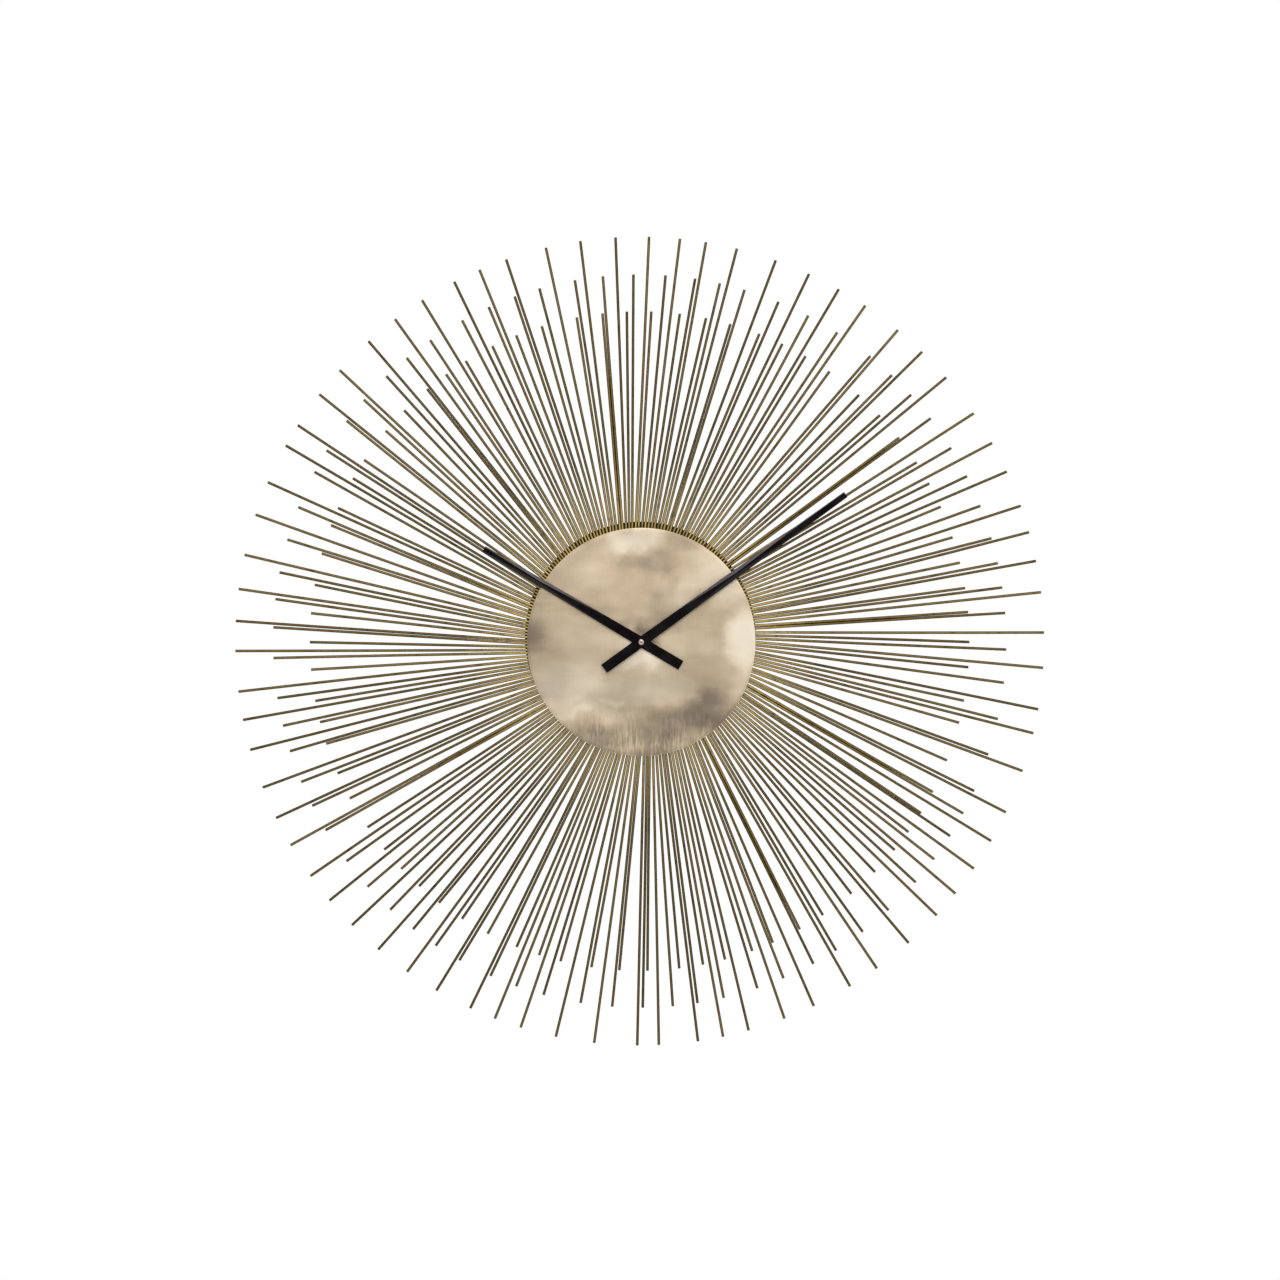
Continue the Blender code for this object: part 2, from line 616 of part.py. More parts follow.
def make_bush():
    """The threaded bush that holds the movement to the back plate, with its washers and nut."""
    brass = material("bush_brass", (0.78, 0.64, 0.36), 0.3, 1.0)
    rubber = material("washer_rubber", (0.03, 0.03, 0.03), 0.8, 0.0)
    inner, outer = BUSH_RADII
    floor = CASE_DEPTHS[1] - CASE_WALL
    top = DISC_DEPTHS[1] - 1.0 * MM
    flange_radius, flange_depth = 6.0 * MM, floor - 1.4 * MM
    chamfer = 0.5 * MM
    profile = [
        (inner, flange_depth),
        (flange_radius, flange_depth),
        (flange_radius, floor - GAP),
        (outer, floor - GAP),
        (outer, top - chamfer),
        (outer - chamfer, top),
        (inner, top),
    ]
    place("threaded_bush", turned(profile, sides=20), brass, smooth=True)
    ring_hole = outer + 0.2 * MM
    rubber_depths = (CASE_DEPTHS[1] + 0.2 * MM, BACK_PLATE_DEPTHS[0] - 0.2 * MM)
    place("rubber_washer", tube((ring_hole, 9.0 * MM), rubber_depths, 20), rubber, smooth=True)
    plate_front = BACK_PLATE_DEPTHS[1]
    washer_depths = (plate_front + 0.2 * MM, plate_front + 0.8 * MM)
    place("clamp_washer", tube((ring_hole, 7.5 * MM), washer_depths, 20), brass, smooth=True)
    nut_depths = (plate_front + 1.0 * MM, plate_front + 3.0 * MM)
    nut = prism(circle(6.9 * MM, 6), nut_depths, [circle(ring_hole, 16)])
    place("clamp_nut", nut, brass)


def make_motor():
    """The stepping motor: a stator plate around the rotor, and a coil across its two legs."""
    steel = material("stator_steel", (0.45, 0.45, 0.46), 0.4, 1.0)
    nylon = material("bobbin_nylon", (0.85, 0.83, 0.78), 0.5, 0.0)
    copper = material("coil_copper", (0.72, 0.33, 0.16), 0.35, 1.0)
    corners_mm = [
        (-22, 13.2),
        (4, 13.2),
        (4, 9.2),
        (15, 9.2),
        (15, 25),
        (10, 25),
        (10, 19),
        (-17, 19),
        (-17, 25),
        (-22, 25),
    ]
    outline = [(x * MM, z * MM) for x, z in corners_mm]
    plate = prism(outline, (6.3 * MM, 7.1 * MM), [circle(MAGNET_RADIUS + 0.4 * MM, 20, ROTOR_ARBOR)])
    window = box((-16.8 * MM, 9.8 * MM), (18.0 * MM, 26 * MM), (6 * MM, 7.4 * MM))
    place("stator", cut(plate, window), steel)

    coil_place = laid_along_x(height=23.0 * MM, depth=7.9 * MM)
    ends = (-16.2 * MM, 9.2 * MM)
    flange = 1.0 * MM
    core_radius, flange_radius = 2.2 * MM, 3.5 * MM
    spool = joined(
        rod(core_radius, ends, 12),
        rod(flange_radius, (ends[0], ends[0] + flange), 16),
        rod(flange_radius, (ends[1] - flange, ends[1]), 16),
    )
    wire_radii = (core_radius + GAP, flange_radius - 0.2 * MM)
    winding = tube(wire_radii, (ends[0] + flange + GAP, ends[1] - flange - GAP), 16)
    for name, mesh, look in (("coil_bobbin", spool, nylon), ("coil_winding", winding, copper)):
        mesh.transform(coil_place)
        place(name, mesh, look, smooth=True)


def make_circuit():
    green = material("board_green", (0.05, 0.22, 0.10), 0.4, 0.0)
    can = material("crystal_can", (0.75, 0.75, 0.74), 0.25, 1.0)
    board_depths = (12.8 * MM, 13.8 * MM)
    cutter_depths = (12 * MM, 14.6 * MM)
    hour_wheel_notch = rod(8.9 * MM, cutter_depths, 24)
    post_holes = [moved(rod(POST_RADIUS + 0.4 * MM, cutter_depths, 8), spot) for spot in POST_SPOTS[1:]]
    board = box((-25 * MM, 25 * MM), (11.5 * MM, 26 * MM), board_depths)
    place("circuit_board", cut(board, *post_holes, hour_wheel_notch), green)
    crystal = rod(1.0 * MM, (15.5 * MM, 21.5 * MM), 12)
    crystal.transform(laid_along_x(height=22 * MM, depth=11.5 * MM))
    place("quartz_crystal", crystal, can, smooth=True)


def make_battery():
    jacket = material("battery_jacket", (0.10, 0.10, 0.11), 0.35, 0.3)
    spring_steel = material("contact_steel", (0.70, 0.70, 0.68), 0.3, 1.0)
    height, depth = BATTERY_CENTRE
    left, right = BATTERY_ENDS
    nub, nub_radius = 1.1 * MM, 2.7 * MM
    edge = 0.5 * MM
    profile = [
        (0, left),
        (BATTERY_RADIUS - edge, left),
        (BATTERY_RADIUS, left + edge),
        (BATTERY_RADIUS, right - edge),
        (BATTERY_RADIUS - edge, right),
        (nub_radius, right),
        (nub_radius, right + nub),
        (0, right + nub),
    ]
    cell = turned(profile, sides=24)
    cell.transform(laid_along_x(height, depth))
    place("battery", cell, jacket, smooth=True)

    wall = CASE_SIDE / 2 - CASE_WALL - GAP
    leaf = 0.5 * MM
    leaf_face = ((-26 * MM, -13 * MM), (3 * MM, 14 * MM))  # its heights and depths
    positive = box((wall - leaf, wall), *leaf_face)
    negative = box((-wall, leaf - wall), *leaf_face)
    spring_radii = (1.5 * MM, 3.5 * MM)
    spring_profile = [
        (0, 2 * leaf - wall),
        (spring_radii[0], 2 * leaf - wall),
        (spring_radii[1], 0.4 * leaf - wall),
        (spring_radii[1], 0.2 * leaf - wall),
        (0, 0.2 * leaf - wall),
    ]
    spring = turned(spring_profile, 12)
    spring.transform(laid_along_x(height, depth))
    place("contact_positive", positive, spring_steel)
    place("contact_negative", joined(negative, spring), spring_steel)


# ---- The hands ----


def hand(reach, depths, bearing, bore):
    """A flat bar with square ends, as wide as its tail up to the axis and tapering from there to its tip."""
    tail, tip = HAND_TAIL_WIDTH / 2, HAND_TIP_WIDTH / 2
    outline = [(-tail, -HAND_TAIL), (tail, -HAND_TAIL), (tail, 0), (tip, reach), (-tip, reach), (-tail, 0)]
    flat = prism(outline, depths, [circle(bore, 20)])
    flat.transform(Matrix.Rotation(math.radians(bearing), 4, "Y"))
    return flat


def make_hands():
    black = material("gloss_black", (0.012, 0.012, 0.013), 0.18, 0.0)
    brass = material("collet_brass", (0.75, 0.62, 0.36), 0.3, 1.0)
    nickel = material("nickel", (0.72, 0.70, 0.68), 0.18, 1.0)
    fit = 0.1 * MM
    pipe, arbor = HOUR_PIPE_RADII[1] + fit, MINUTE_TUBE_RADII[1] + fit
    place("hour_hand", hand(HOUR_HAND_REACH, HOUR_HAND_DEPTHS, HOUR_BEARING, pipe), black)
    collet_depths = (26.4 * MM, HOUR_HAND_DEPTHS[0] - fit)
    place("hour_hand_collet", tube((pipe, 3.6 * MM), collet_depths, 20), brass, smooth=True)
    place("minute_hand", hand(MINUTE_HAND_REACH, MINUTE_HAND_DEPTHS, MINUTE_BEARING, arbor), black)
    foot = MINUTE_HAND_DEPTHS[1] + fit
    inside = 33.8 * MM
    nut_radius = 3.3 * MM
    profile = [
        (arbor, foot),
        (nut_radius, foot),
        (nut_radius, FRONT_DEPTH - 1.1 * MM),
        (2.2 * MM, FRONT_DEPTH - 0.2 * MM),
        (0, FRONT_DEPTH),
        (0, inside),
        (arbor, inside),
    ]
    place("hand_nut", turned(profile, sides=20), nickel, smooth=True)


clear_scene()
DIAL_AXIS = bpy.data.objects.new("dial_axis", None)
bpy.context.scene.collection.objects.link(DIAL_AXIS)
DIAL_AXIS.location = (0, 0, -KEYHOLE_RISE)

make_sunburst()
make_dial_disc()
make_back_plate()
make_dial_studs()
make_hanger()
make_bumpers()
make_going_train()
make_motion_work()
make_case()
make_bush()
make_motor()
make_circuit()
make_battery()
make_hands()
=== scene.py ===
"""The looks of the sunburst wall clock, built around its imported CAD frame.

Lengths are in metres, in the CAD's frame: +Z up, the dial facing -Y, and the wall in the plane y = 0.
A depth is a distance from the wall, so a point at depth d has y = -d.
A bearing is an angle clockwise from twelve o'clock, seen from the front.
"""

import json
import math
import random

import bmesh
import bpy
from mathutils import Matrix, Vector


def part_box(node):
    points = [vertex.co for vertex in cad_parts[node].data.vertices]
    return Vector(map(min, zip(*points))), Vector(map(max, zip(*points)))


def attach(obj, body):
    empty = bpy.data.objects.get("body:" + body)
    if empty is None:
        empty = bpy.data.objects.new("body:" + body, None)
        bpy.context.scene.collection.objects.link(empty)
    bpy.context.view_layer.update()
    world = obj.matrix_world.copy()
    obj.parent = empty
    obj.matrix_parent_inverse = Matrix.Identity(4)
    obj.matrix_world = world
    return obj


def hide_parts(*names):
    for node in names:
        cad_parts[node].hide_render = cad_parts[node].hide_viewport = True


MM = 0.001

# The sunburst, as in the CAD. Each bundle is one or more fans: (rods, bearing of first tip, of last tip).
RAY_BUNDLES = (
    ((8, 7, 17),),
    ((11, 19.5, 35.5),),
    ((8, 38.5, 49.5), (2, 51.5, 53)),
    ((9, 55.5, 68),),
    ((12, 70.5, 86),),
    ((6, 88.5, 96.5), (5, 99.5, 104.5), (3, 107.5, 111)),
    ((14, 114, 132.5),),
    ((5, 135, 142), (6, 144.5, 152)),
    ((6, 154.5, 161.5), (9, 164, 174.5)),
    ((4, 177.5, 180.5), (6, 183, 191.5)),
    ((9, 194, 205),),
    ((19, 207.5, 236),),
    ((8, 238.5, 249), (9, 251.5, 262.5)),
    ((12, 265.5, 282.5),),
    ((3, 285, 288), (4, 290.5, 294)),
    ((6, 297.5, 303.5), (6, 306.5, 314)),
    ((9, 316.5, 328.5),),
    ((10, 331, 344),),
    ((13, 347, 365.5),),
)
ROD_COUNT = sum(fan[0] for bundle in RAY_BUNDLES for fan in bundle)
ROD_PITCH = 360 / ROD_COUNT
FIRST_ROOT_BEARING = 3.9
TOUCHING_PITCH = 0.5  # degrees between the tips of two short rods that touch
TIP_STRAY = 0.45  # how far a tip is from its even place in the fan, as a share of its clearance
TIP_STRAY_STEP = 2.4  # radians of the sine wave of strays, from one rod to the next
ROD_BOW = 0.35 * MM  # how far a rod's middle is from a straight line, at most
ROD_BOW_STEP = 53  # radians of the sine wave of bows, from one rod to the next
ROD_TIP_RADII = (367 * MM, 408 * MM, 450 * MM)
ROD_RADIUS = 1.5 * MM
WELD_BAR_RADII = (107 * MM, 112.5 * MM)
SUNBURST_OFFSET = Vector((-1.8 * MM, 0, 1.0 * MM))  # from the hands' axis

HOUR_BEARING = 300.6
MINUTE_BEARING = 54.2
HOUR_REACH = 203 * MM  # from the axis to the tip
MINUTE_REACH = 280 * MM
HAND_TAIL = 51 * MM
HAND_WIDTHS = (11.2 * MM, 7.0 * MM)  # at the tail and at the tip
HAND_FACET_START = 46 * MM  # where the bevels along a hand's front begin
HAND_FACET_GROWTH = 85 * MM  # the length over which they grow, and then shrink again
HAND_FACET_DROP = 0.8 * MM
HAND_FACET_WIDEST = 0.85  # the share of the half width that each takes at its widest
HAND_FACET_SHRINKAGE = 0.6  # the share that it gives back towards the tip

# Clearance holes, and where the pieces in them sit
BUSH_HOLE_RADIUS = 4.3 * MM
STUD_HOLE_RADIUS = 2.4 * MM
BUMPER_HOLE_RADIUS = 2.6 * MM
RIVET_HOLE_RADIUS = 2.3 * MM
COLLET_HOLE_RADIUS = 2.6 * MM
ARBOR_HOLE_RADIUS = 1.6 * MM
SEAT_GAP = 0.3 * MM  # between a piece on the back plate and the plate's face, for their rounded edges

PICTURE_WIDTH = 1.4233  # metres across the camera's picture, at the dial
PICTURE_CENTRE = Vector((-1.4 * MM, 0, 2.2 * MM))  # from the hands' axis
LENS = 120  # mm, on a 36 mm sensor
WORLD_FRONT = 0.9  # how bright the room is in front of the dial, and elsewhere
WORLD_SIDES = 0.3
WORLD_ABOVE = 1.1
WORLD_BELOW = 0.75
WORLD_CAMERA = 0.1  # where the camera stands, in a dark gap
SOFTBOX_DISTANCE = 2.6
FLOOR_DROP = 1.4  # metres from the hands' axis down to the floor
FLOOR_RADIUS = 4.5

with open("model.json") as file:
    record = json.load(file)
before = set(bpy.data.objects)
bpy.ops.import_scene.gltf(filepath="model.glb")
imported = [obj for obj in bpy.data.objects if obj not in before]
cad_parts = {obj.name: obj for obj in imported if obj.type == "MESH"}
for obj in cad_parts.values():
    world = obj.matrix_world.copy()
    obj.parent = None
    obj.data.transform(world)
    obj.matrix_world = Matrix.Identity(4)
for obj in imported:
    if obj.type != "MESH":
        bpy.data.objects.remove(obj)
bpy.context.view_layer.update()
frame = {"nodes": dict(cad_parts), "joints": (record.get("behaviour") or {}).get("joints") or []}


def joint_place(name):
    """Where a hinge's axis crosses the wall."""
    return Vector(next(joint for joint in frame["joints"] if joint["name"] == name)["pos_m"])


AXIS = joint_place("minute_hand_turn")


def depths_of(node):
    """The depths of a CAD node's back and front."""
    low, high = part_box(node)
    return -high.y, -low.y


def widths_of(node):
    low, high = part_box(node)
    return high - low


def middle_of(node):
    low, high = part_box(node)
    return (low + high) / 2


# ---- Mesh helpers ----


def polar(radius, bearing, centre=AXIS):
    """The (x, z) point at a bearing around a centre."""
    angle = math.radians(bearing)
    return centre.x + radius * math.sin(angle), centre.z + radius * math.cos(angle)


def circle(radius, sides, centre=AXIS):
    return [polar(radius, 360 * k / sides, centre) for k in range(sides)]


def at(x, z):
    return Vector((x, 0, z))


def finished(bm):
    """The mesh of a closed shape, its faces turned outwards."""
    bmesh.ops.recalc_face_normals(bm, faces=bm.faces)
    mesh = bpy.data.meshes.new("shape")
    bm.to_mesh(mesh)
    bm.free()
    return mesh


def skin(bm, rings, closed=False):
    """Faces between each ring of vertices and the next. A ring of one vertex is a point."""
    following = rings[1:] + rings[:1] if closed else rings[1:]
    for lower, upper in zip(rings, following):
        sides = max(len(lower), len(upper))
        for k in range(sides):
            corners = [lower[k % len(lower)], lower[(k + 1) % len(lower)]]
            corners += [upper[(k + 1) % len(upper)], upper[k % len(upper)]]
            face = list(dict.fromkeys(corners))
            if len(face) > 2:
                bm.faces.new(face)


def capped_skin(bm, rings):
    """A skin with a face at each end."""
    skin(bm, rings)
    bm.faces.new(rings[0])
    bm.faces.new(rings[-1])


def turned(profile, sides, centre=AXIS):
    """A turned shape around a line along Y. The profile is a closed loop of (radius, depth) points."""
    bm = bmesh.new()
    rings = []
    for radius, depth in profile:
        spots = circle(radius, sides, centre) if radius > 0 else [(centre.x, centre.z)]
        rings.append([bm.verts.new((x, -depth, z)) for x, z in spots])
    skin(bm, rings, closed=True)
    return finished(bm)


def prism(outline, depths, holes=()):
    """A flat shape: the outline, less its holes, between two depths."""
    bm = bmesh.new()
    edges = []
    for loop in (outline, *holes):
        verts = [bm.verts.new((x, -depths[0], z)) for x, z in loop]
        edges += [bm.edges.new((verts[k - 1], verts[k])) for k in range(len(verts))]
    bmesh.ops.triangle_fill(bm, edges=edges, use_beauty=True, normal=(0, 1, 0))
    made = bmesh.ops.extrude_face_region(bm, geom=list(bm.faces))
    moved = [item for item in made["geom"] if isinstance(item, bmesh.types.BMVert)]
    bmesh.ops.translate(bm, verts=moved, vec=(0, depths[0] - depths[1], 0))
    bmesh.ops.dissolve_limit(bm, angle_limit=math.radians(1), verts=bm.verts, edges=bm.edges)
    return finished(bm)


def rounded_rectangle(x, z, radius, steps=6):
    """The outline of a rectangle with round corners."""
    points = []
    corners = ((x[1], z[1], 0), (x[1], z[0], 90), (x[0], z[0], 180), (x[0], z[1], 270))
    for corner_x, corner_z, first in corners:
        middle = at(
            corner_x - math.copysign(radius, corner_x - (x[0] + x[1]) / 2),
            corner_z - math.copysign(radius, corner_z - (z[0] + z[1]) / 2),
        )
        points += [polar(radius, first + 90 * k / steps, middle) for k in range(steps + 1)]
    return points


def boolean(operation, base, others):
    """The base mesh with the others joined to it or cut from it."""
    body = bpy.data.objects.new("body", base)
    helpers = [bpy.data.objects.new("helper", mesh) for mesh in others]
    for obj in (body, *helpers):
        bpy.context.scene.collection.objects.link(obj)
    for helper in helpers:
        modifier = body.modifiers.new(operation, "BOOLEAN")
        modifier.operation = operation
        modifier.object = helper
        modifier.solver = "EXACT"
    graph = bpy.context.evaluated_depsgraph_get()
    result = bpy.data.meshes.new_from_object(body.evaluated_get(graph))
    for obj in (body, *helpers):
        bpy.data.objects.remove(obj, do_unlink=True)
    return result


def joined(base, *others):
    return boolean("UNION", base, others)


def cut(base, *others):
    return boolean("DIFFERENCE", base, others)


def smooth(mesh, crease=35):
    """Smooth shading, but for edges sharper than the crease."""
    mesh.shade_smooth()
    mesh.set_sharp_from_angle(angle=math.radians(crease))


def round_edges(obj, width):
    """Rounds the sharp edges of a shape."""
    weld = obj.modifiers.new("weld", "WELD")
    weld.merge_threshold = 0.005 * MM
    bevel = obj.modifiers.new("bevel", "BEVEL")
    bevel.width = width
    bevel.segments = 2
    bevel.limit_method = "ANGLE"
    bevel.angle_limit = math.radians(40)
    bevel.harden_normals = True


def piece(name, mesh, look, body, replaced, edge=None, crease=35):
    """A finished piece that rides on a body and stands for CAD nodes."""
    obj = bpy.data.objects.new(name, mesh)
    bpy.context.scene.collection.objects.link(obj)
    mesh.materials.clear()
    mesh.materials.append(look)
    smooth(mesh, crease)
    if edge:
        round_edges(obj, edge)
    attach(obj, body)
    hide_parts(*replaced)


def dress(node, look, edge=None):
    """Gives a CAD node its material, and rounds its edges."""
    obj = frame["nodes"][node]
    obj.data.materials.clear()
    obj.data.materials.append(look)
    if edge:
        round_edges(obj, edge)
    smooth(obj.data)


# ---- Materials ----


def srgb(red, green, blue):
    """A colour given as on a screen, from 0 to 255."""
    shares = (value / 255 for value in (red, green, blue))
    return (*(s / 12.92 if s <= 0.04045 else ((s + 0.055) / 1.055) ** 2.4 for s in shares), 1.0)


class Look:
    """A Principled material, and the nodes that feed it."""

    def __init__(self, name, metallic=0.0, roughness=0.5):
        self.material = bpy.data.materials.new(name)
        self.material.use_nodes = True
        self.tree = self.material.node_tree
        self.shader = self.tree.nodes["Principled BSDF"]
        self.set("Metallic", metallic)
        self.set("Roughness", roughness)
        self.place = self.node("TexCoord").outputs["Object"]

    def feed(self, socket, value):
        """Links a socket to another node's output, or gives it a plain value."""
        if isinstance(value, bpy.types.NodeSocket):
            self.tree.links.new(value, socket)
        else:
            socket.default_value = value

    def set(self, name, value):
        self.feed(self.shader.inputs[name], value)

    def node(self, kind, inputs=None, **settings):
        made = self.tree.nodes.new("ShaderNode" + kind)
        for name, value in settings.items():
            setattr(made, name, value)
        for name, value in (inputs or {}).items():
            self.feed(made.inputs[name], value)
        return made

    def math(self, operation, first, second=0.0):
        return self.node("Math", {0: first, 1: second}, operation=operation).outputs[0]

    def spread(self, value, low, high, to_low=0.0, to_high=1.0):
        """Takes the range from low to high to another range, smoothly."""
        inputs = {"Value": value, "From Min": low, "From Max": high, "To Min": to_low, "To Max": to_high}
        return self.node("MapRange", inputs, interpolation_type="SMOOTHSTEP").outputs["Result"]

    def noise(self, size, stretch=(1, 1, 1), detail=4.0, distortion=0.0):
        """Noise whose blotches are this size in metres, stretched along each axis."""
        scale = [1 / (size * share) for share in stretch]
        squeezed = self.node("VectorMath", {0: self.place, 1: scale}, operation="MULTIPLY").outputs[0]
        inputs = {"Vector": squeezed, "Scale": 1.0, "Detail": detail, "Distortion": distortion}
        return self.node("TexNoise", inputs).outputs["Fac"]

    def mix(self, share, first, second):
        made = self.node("Mix", data_type="RGBA")
        self.feed(made.inputs[0], share)
        self.feed(made.inputs[6], first)
        self.feed(made.inputs[7], second)
        return made.outputs[2]

    def ramp(self, value, stops):
        """A colour for each value. The stops are (value, colour) pairs."""
        made = self.node("ValToRGB", {"Fac": value})
        elements = made.color_ramp.elements
        while len(elements) < len(stops):
            elements.new(0.5)
        for element, (spot, colour) in zip(elements, stops):
            element.position = spot
            element.color = colour
        return made.outputs["Color"]

    def bump(self, height, distance, strength=1.0):
        made = self.node("Bump", {"Height": height, "Distance": distance, "Strength": strength})
        self.set("Normal", made.outputs["Normal"])

    def facing(self):
        """1 on a surface that faces the room or the wall, 0 on one at right angles to them."""
        normal = self.node("TexCoord").outputs["Normal"]
        y = self.node("SeparateXYZ", {0: normal}).outputs["Y"]
        return self.math("ABSOLUTE", y)


# Painted highlights and painted shade on the disc, standing in for the studio's reflections on the satin
# brass, and a painted shadow of the hands just above the pivot; in disc radii from its centre: (across,
# up, half width, half height, lightness)
DISC_PAINTED_LIGHT_PATCHES = (
    (-0.02, 0.92, 0.36, 0.24, 0.46),
    (-0.22, 0.84, 0.36, 0.14, 0.20),
    (0.93, 0.04, 0.26, 0.36, 0.58),
    (0.74, 0.58, 0.60, 0.38, 0.29),
    (-0.55, 0.62, 0.56, 0.38, 0.16),
    (-0.60, 0.10, 0.50, 0.30, 0.08),
    (0.00, -0.14, 0.26, 0.20, 0.38),
    (-0.52, -0.60, 0.20, 0.07, 0.14),
    (-0.24, -0.50, 0.12, 0.07, 0.12),
    (-0.66, -0.34, 0.56, 0.34, 0.18),
    (0.10, -0.40, 0.60, 0.22, 0.12),
    (0.26, 0.44, 0.26, 0.22, 0.18),
    (0.18, 0.66, 0.30, 0.20, -0.09),
    (0.03, 0.03, 0.16, 0.15, -0.30),
    (-0.98, 0.04, 0.24, 0.36, -0.16),
    (-0.88, -0.16, 0.34, 0.26, -0.08),
    (0.65, -0.60, 0.44, 0.26, -0.36),
    (0.34, -0.72, 0.60, 0.26, -0.27),
    (0.05, -0.95, 0.80, 0.34, -0.22),
    (-0.46, -0.82, 0.50, 0.24, -0.28),
)
DISC_TONES = (
    (0.0, srgb(104, 92, 80)),
    (0.25, srgb(152, 138, 120)),
    (0.5, srgb(210, 191, 161)),
    (0.75, srgb(242, 227, 202)),
    (1.0, srgb(254, 242, 219)),
)
PATCH_STRAY = 46 * MM  # the full swing of the noise that drags the patches' outlines about
PATCH_STRAY_SCALE = 28.0  # how many blotches of that noise there are in a metre


def patch_places(look, place):
    """The place, moved about by noise, so that the patches' outlines are cloudy."""
    inputs = {"Vector": look.place, "Scale": PATCH_STRAY_SCALE, "Detail": 5.0}
    clouds = look.node("TexNoise", inputs).outputs["Color"]
    shift = look.node("VectorMath", {0: clouds, 1: (0.5, 0.5, 0.5)}, operation="SUBTRACT").outputs[0]
    shift = look.node("VectorMath", {0: shift, "Scale": PATCH_STRAY}, operation="SCALE").outputs[0]
    return look.node("VectorMath", {0: place, 1: shift}, operation="ADD").outputs[0]


def champagne_brass():
    """Satin brass with a wiped, cloudy patina, and patches of painted highlight and painted shade where
    the studio's reflections fall, with a painted shadow of the hands above the pivot. Its lower part
    shows fine upright brushing.
    """
    look = Look("champagne_brass", metallic=1.0)
    radius = widths_of("dial_disc").x / 2
    moved = look.node("VectorMath", {0: look.place, 1: AXIS}, operation="SUBTRACT").outputs[0]
    strayed = patch_places(look, moved)
    clouds = look.noise(60 * MM, (1.5, 1, 1), detail=6, distortion=0.6)
    wiped = look.noise(20 * MM, (3.0, 1, 1), detail=6, distortion=0.6)
    tone = look.spread(clouds, 0.25, 0.75, 0.45, 0.58)
    tone = look.math("ADD", tone, look.spread(wiped, 0.25, 0.75, -0.05, 0.05))
    height = look.node("SeparateXYZ", {0: moved}).outputs["Z"]
    tone = look.math("SUBTRACT", tone, look.math("MULTIPLY", height, 0.15 / radius))
    # Each patch is painted light: a painted highlight or reflection where its lightness is above 0,
    # painted shade or shadow where it is below.
    for across, up, half_width, half_height, lightness in DISC_PAINTED_LIGHT_PATCHES:
        inputs = {
            "Vector": strayed,
            "Location": (across * radius, 0, up * radius),
            "Scale": (half_width * radius, 1.0, half_height * radius),
        }
        local = look.node("Mapping", inputs, vector_type="TEXTURE").outputs[0]
        patch = look.node("TexGradient", {0: local}, gradient_type="SPHERICAL").outputs["Fac"]
        tone = look.math("ADD", tone, look.math("MULTIPLY", look.spread(patch, 0.0, 0.85), lightness))

    low_part = look.spread(height, -0.50 * radius, -0.88 * radius)
    bristles = look.noise(2.2 * MM, (1, 1, 7), detail=5, distortion=0.4)
    faint = look.noise(0.6 * MM, (1, 1, 50), detail=2)
    brushed = look.math("MULTIPLY", low_part, look.spread(look.noise(24 * MM, detail=3), 0.35, 0.6))
    strokes = look.math("MULTIPLY", look.spread(bristles, 0.38, 0.7, -0.07, 0.16), brushed)
    tone = look.math("ADD", tone, strokes)
    tone = look.math("ADD", tone, look.spread(faint, 0.3, 0.7, -0.01, 0.01))

    reach = look.node("VectorMath", {0: moved}, operation="LENGTH").outputs["Value"]
    rim = look.spread(reach, radius - 0.4 * MM, radius - 0.2 * MM, 0.0, -0.05)
    tone = look.math("ADD", tone, rim)
    look.set("Base Color", look.ramp(tone, DISC_TONES))
    look.set("Roughness", look.spread(clouds, 0.3, 0.7, 0.32, 0.40))
    look.bump(look.math("ADD", bristles, faint), 0.01 * MM, 0.5)
    return look.material


def aged_rod_brass():
    """Rods dark with patina and lighter near the hub, with painted shade on their sides: they keep their
    lighter colour only where they face the room or the wall.
    """
    look = Look("aged_rod_brass", metallic=1.0)
    tone = look.node("Attribute", attribute_name="tone").outputs["Fac"]
    centre = AXIS + SUNBURST_OFFSET
    from_centre = look.node("VectorMath", {0: look.place, 1: centre}, operation="SUBTRACT").outputs[0]
    reach = look.node("VectorMath", {0: from_centre}, operation="LENGTH").outputs["Value"]
    near = look.spread(reach, 215 * MM, 125 * MM)
    along = look.noise(9 * MM, detail=5)
    dark = look.mix(tone, srgb(44, 32, 10), srgb(60, 45, 18))
    outer = look.mix(tone, srgb(90, 77, 44), srgb(116, 99, 59))
    inner = look.mix(tone, srgb(146, 125, 72), srgb(178, 155, 94))
    # Painted shade: a rod's sides, at right angles to the room and the wall, take the dark colour, as a
    # reflection of the dim room at a grazing angle would make them.
    facing_lit = look.spread(look.facing(), 0.62, 1.0)
    colour = look.mix(facing_lit, dark, look.mix(near, outer, inner))
    stained = look.spread(along, 0.52, 0.78, 0.0, 0.6)
    look.set("Base Color", look.mix(stained, colour, dark))
    look.set("Specular Tint", srgb(140, 114, 66))
    look.set("Roughness", look.spread(along, 0.3, 0.7, 0.34, 0.5))
    look.bump(look.noise(0.8 * MM, detail=3), 0.02 * MM, 0.4)
    return look.material


def gloss_black_lacquer():
    """Black lacquer with a faint haze and the slightest orange peel."""
    look = Look("gloss_black_lacquer")
    haze = look.noise(14 * MM, detail=4)
    look.set("Base Color", look.mix(haze, srgb(4, 3, 3), srgb(9, 6, 6)))
    look.set("Specular Tint", srgb(250, 238, 246))
    look.set("Specular IOR Level", 0.42)
    look.set("Roughness", look.spread(haze, 0.3, 0.7, 0.13, 0.21))
    look.bump(look.noise(2.5 * MM, detail=2), 0.01 * MM, 0.3)
    return look.material


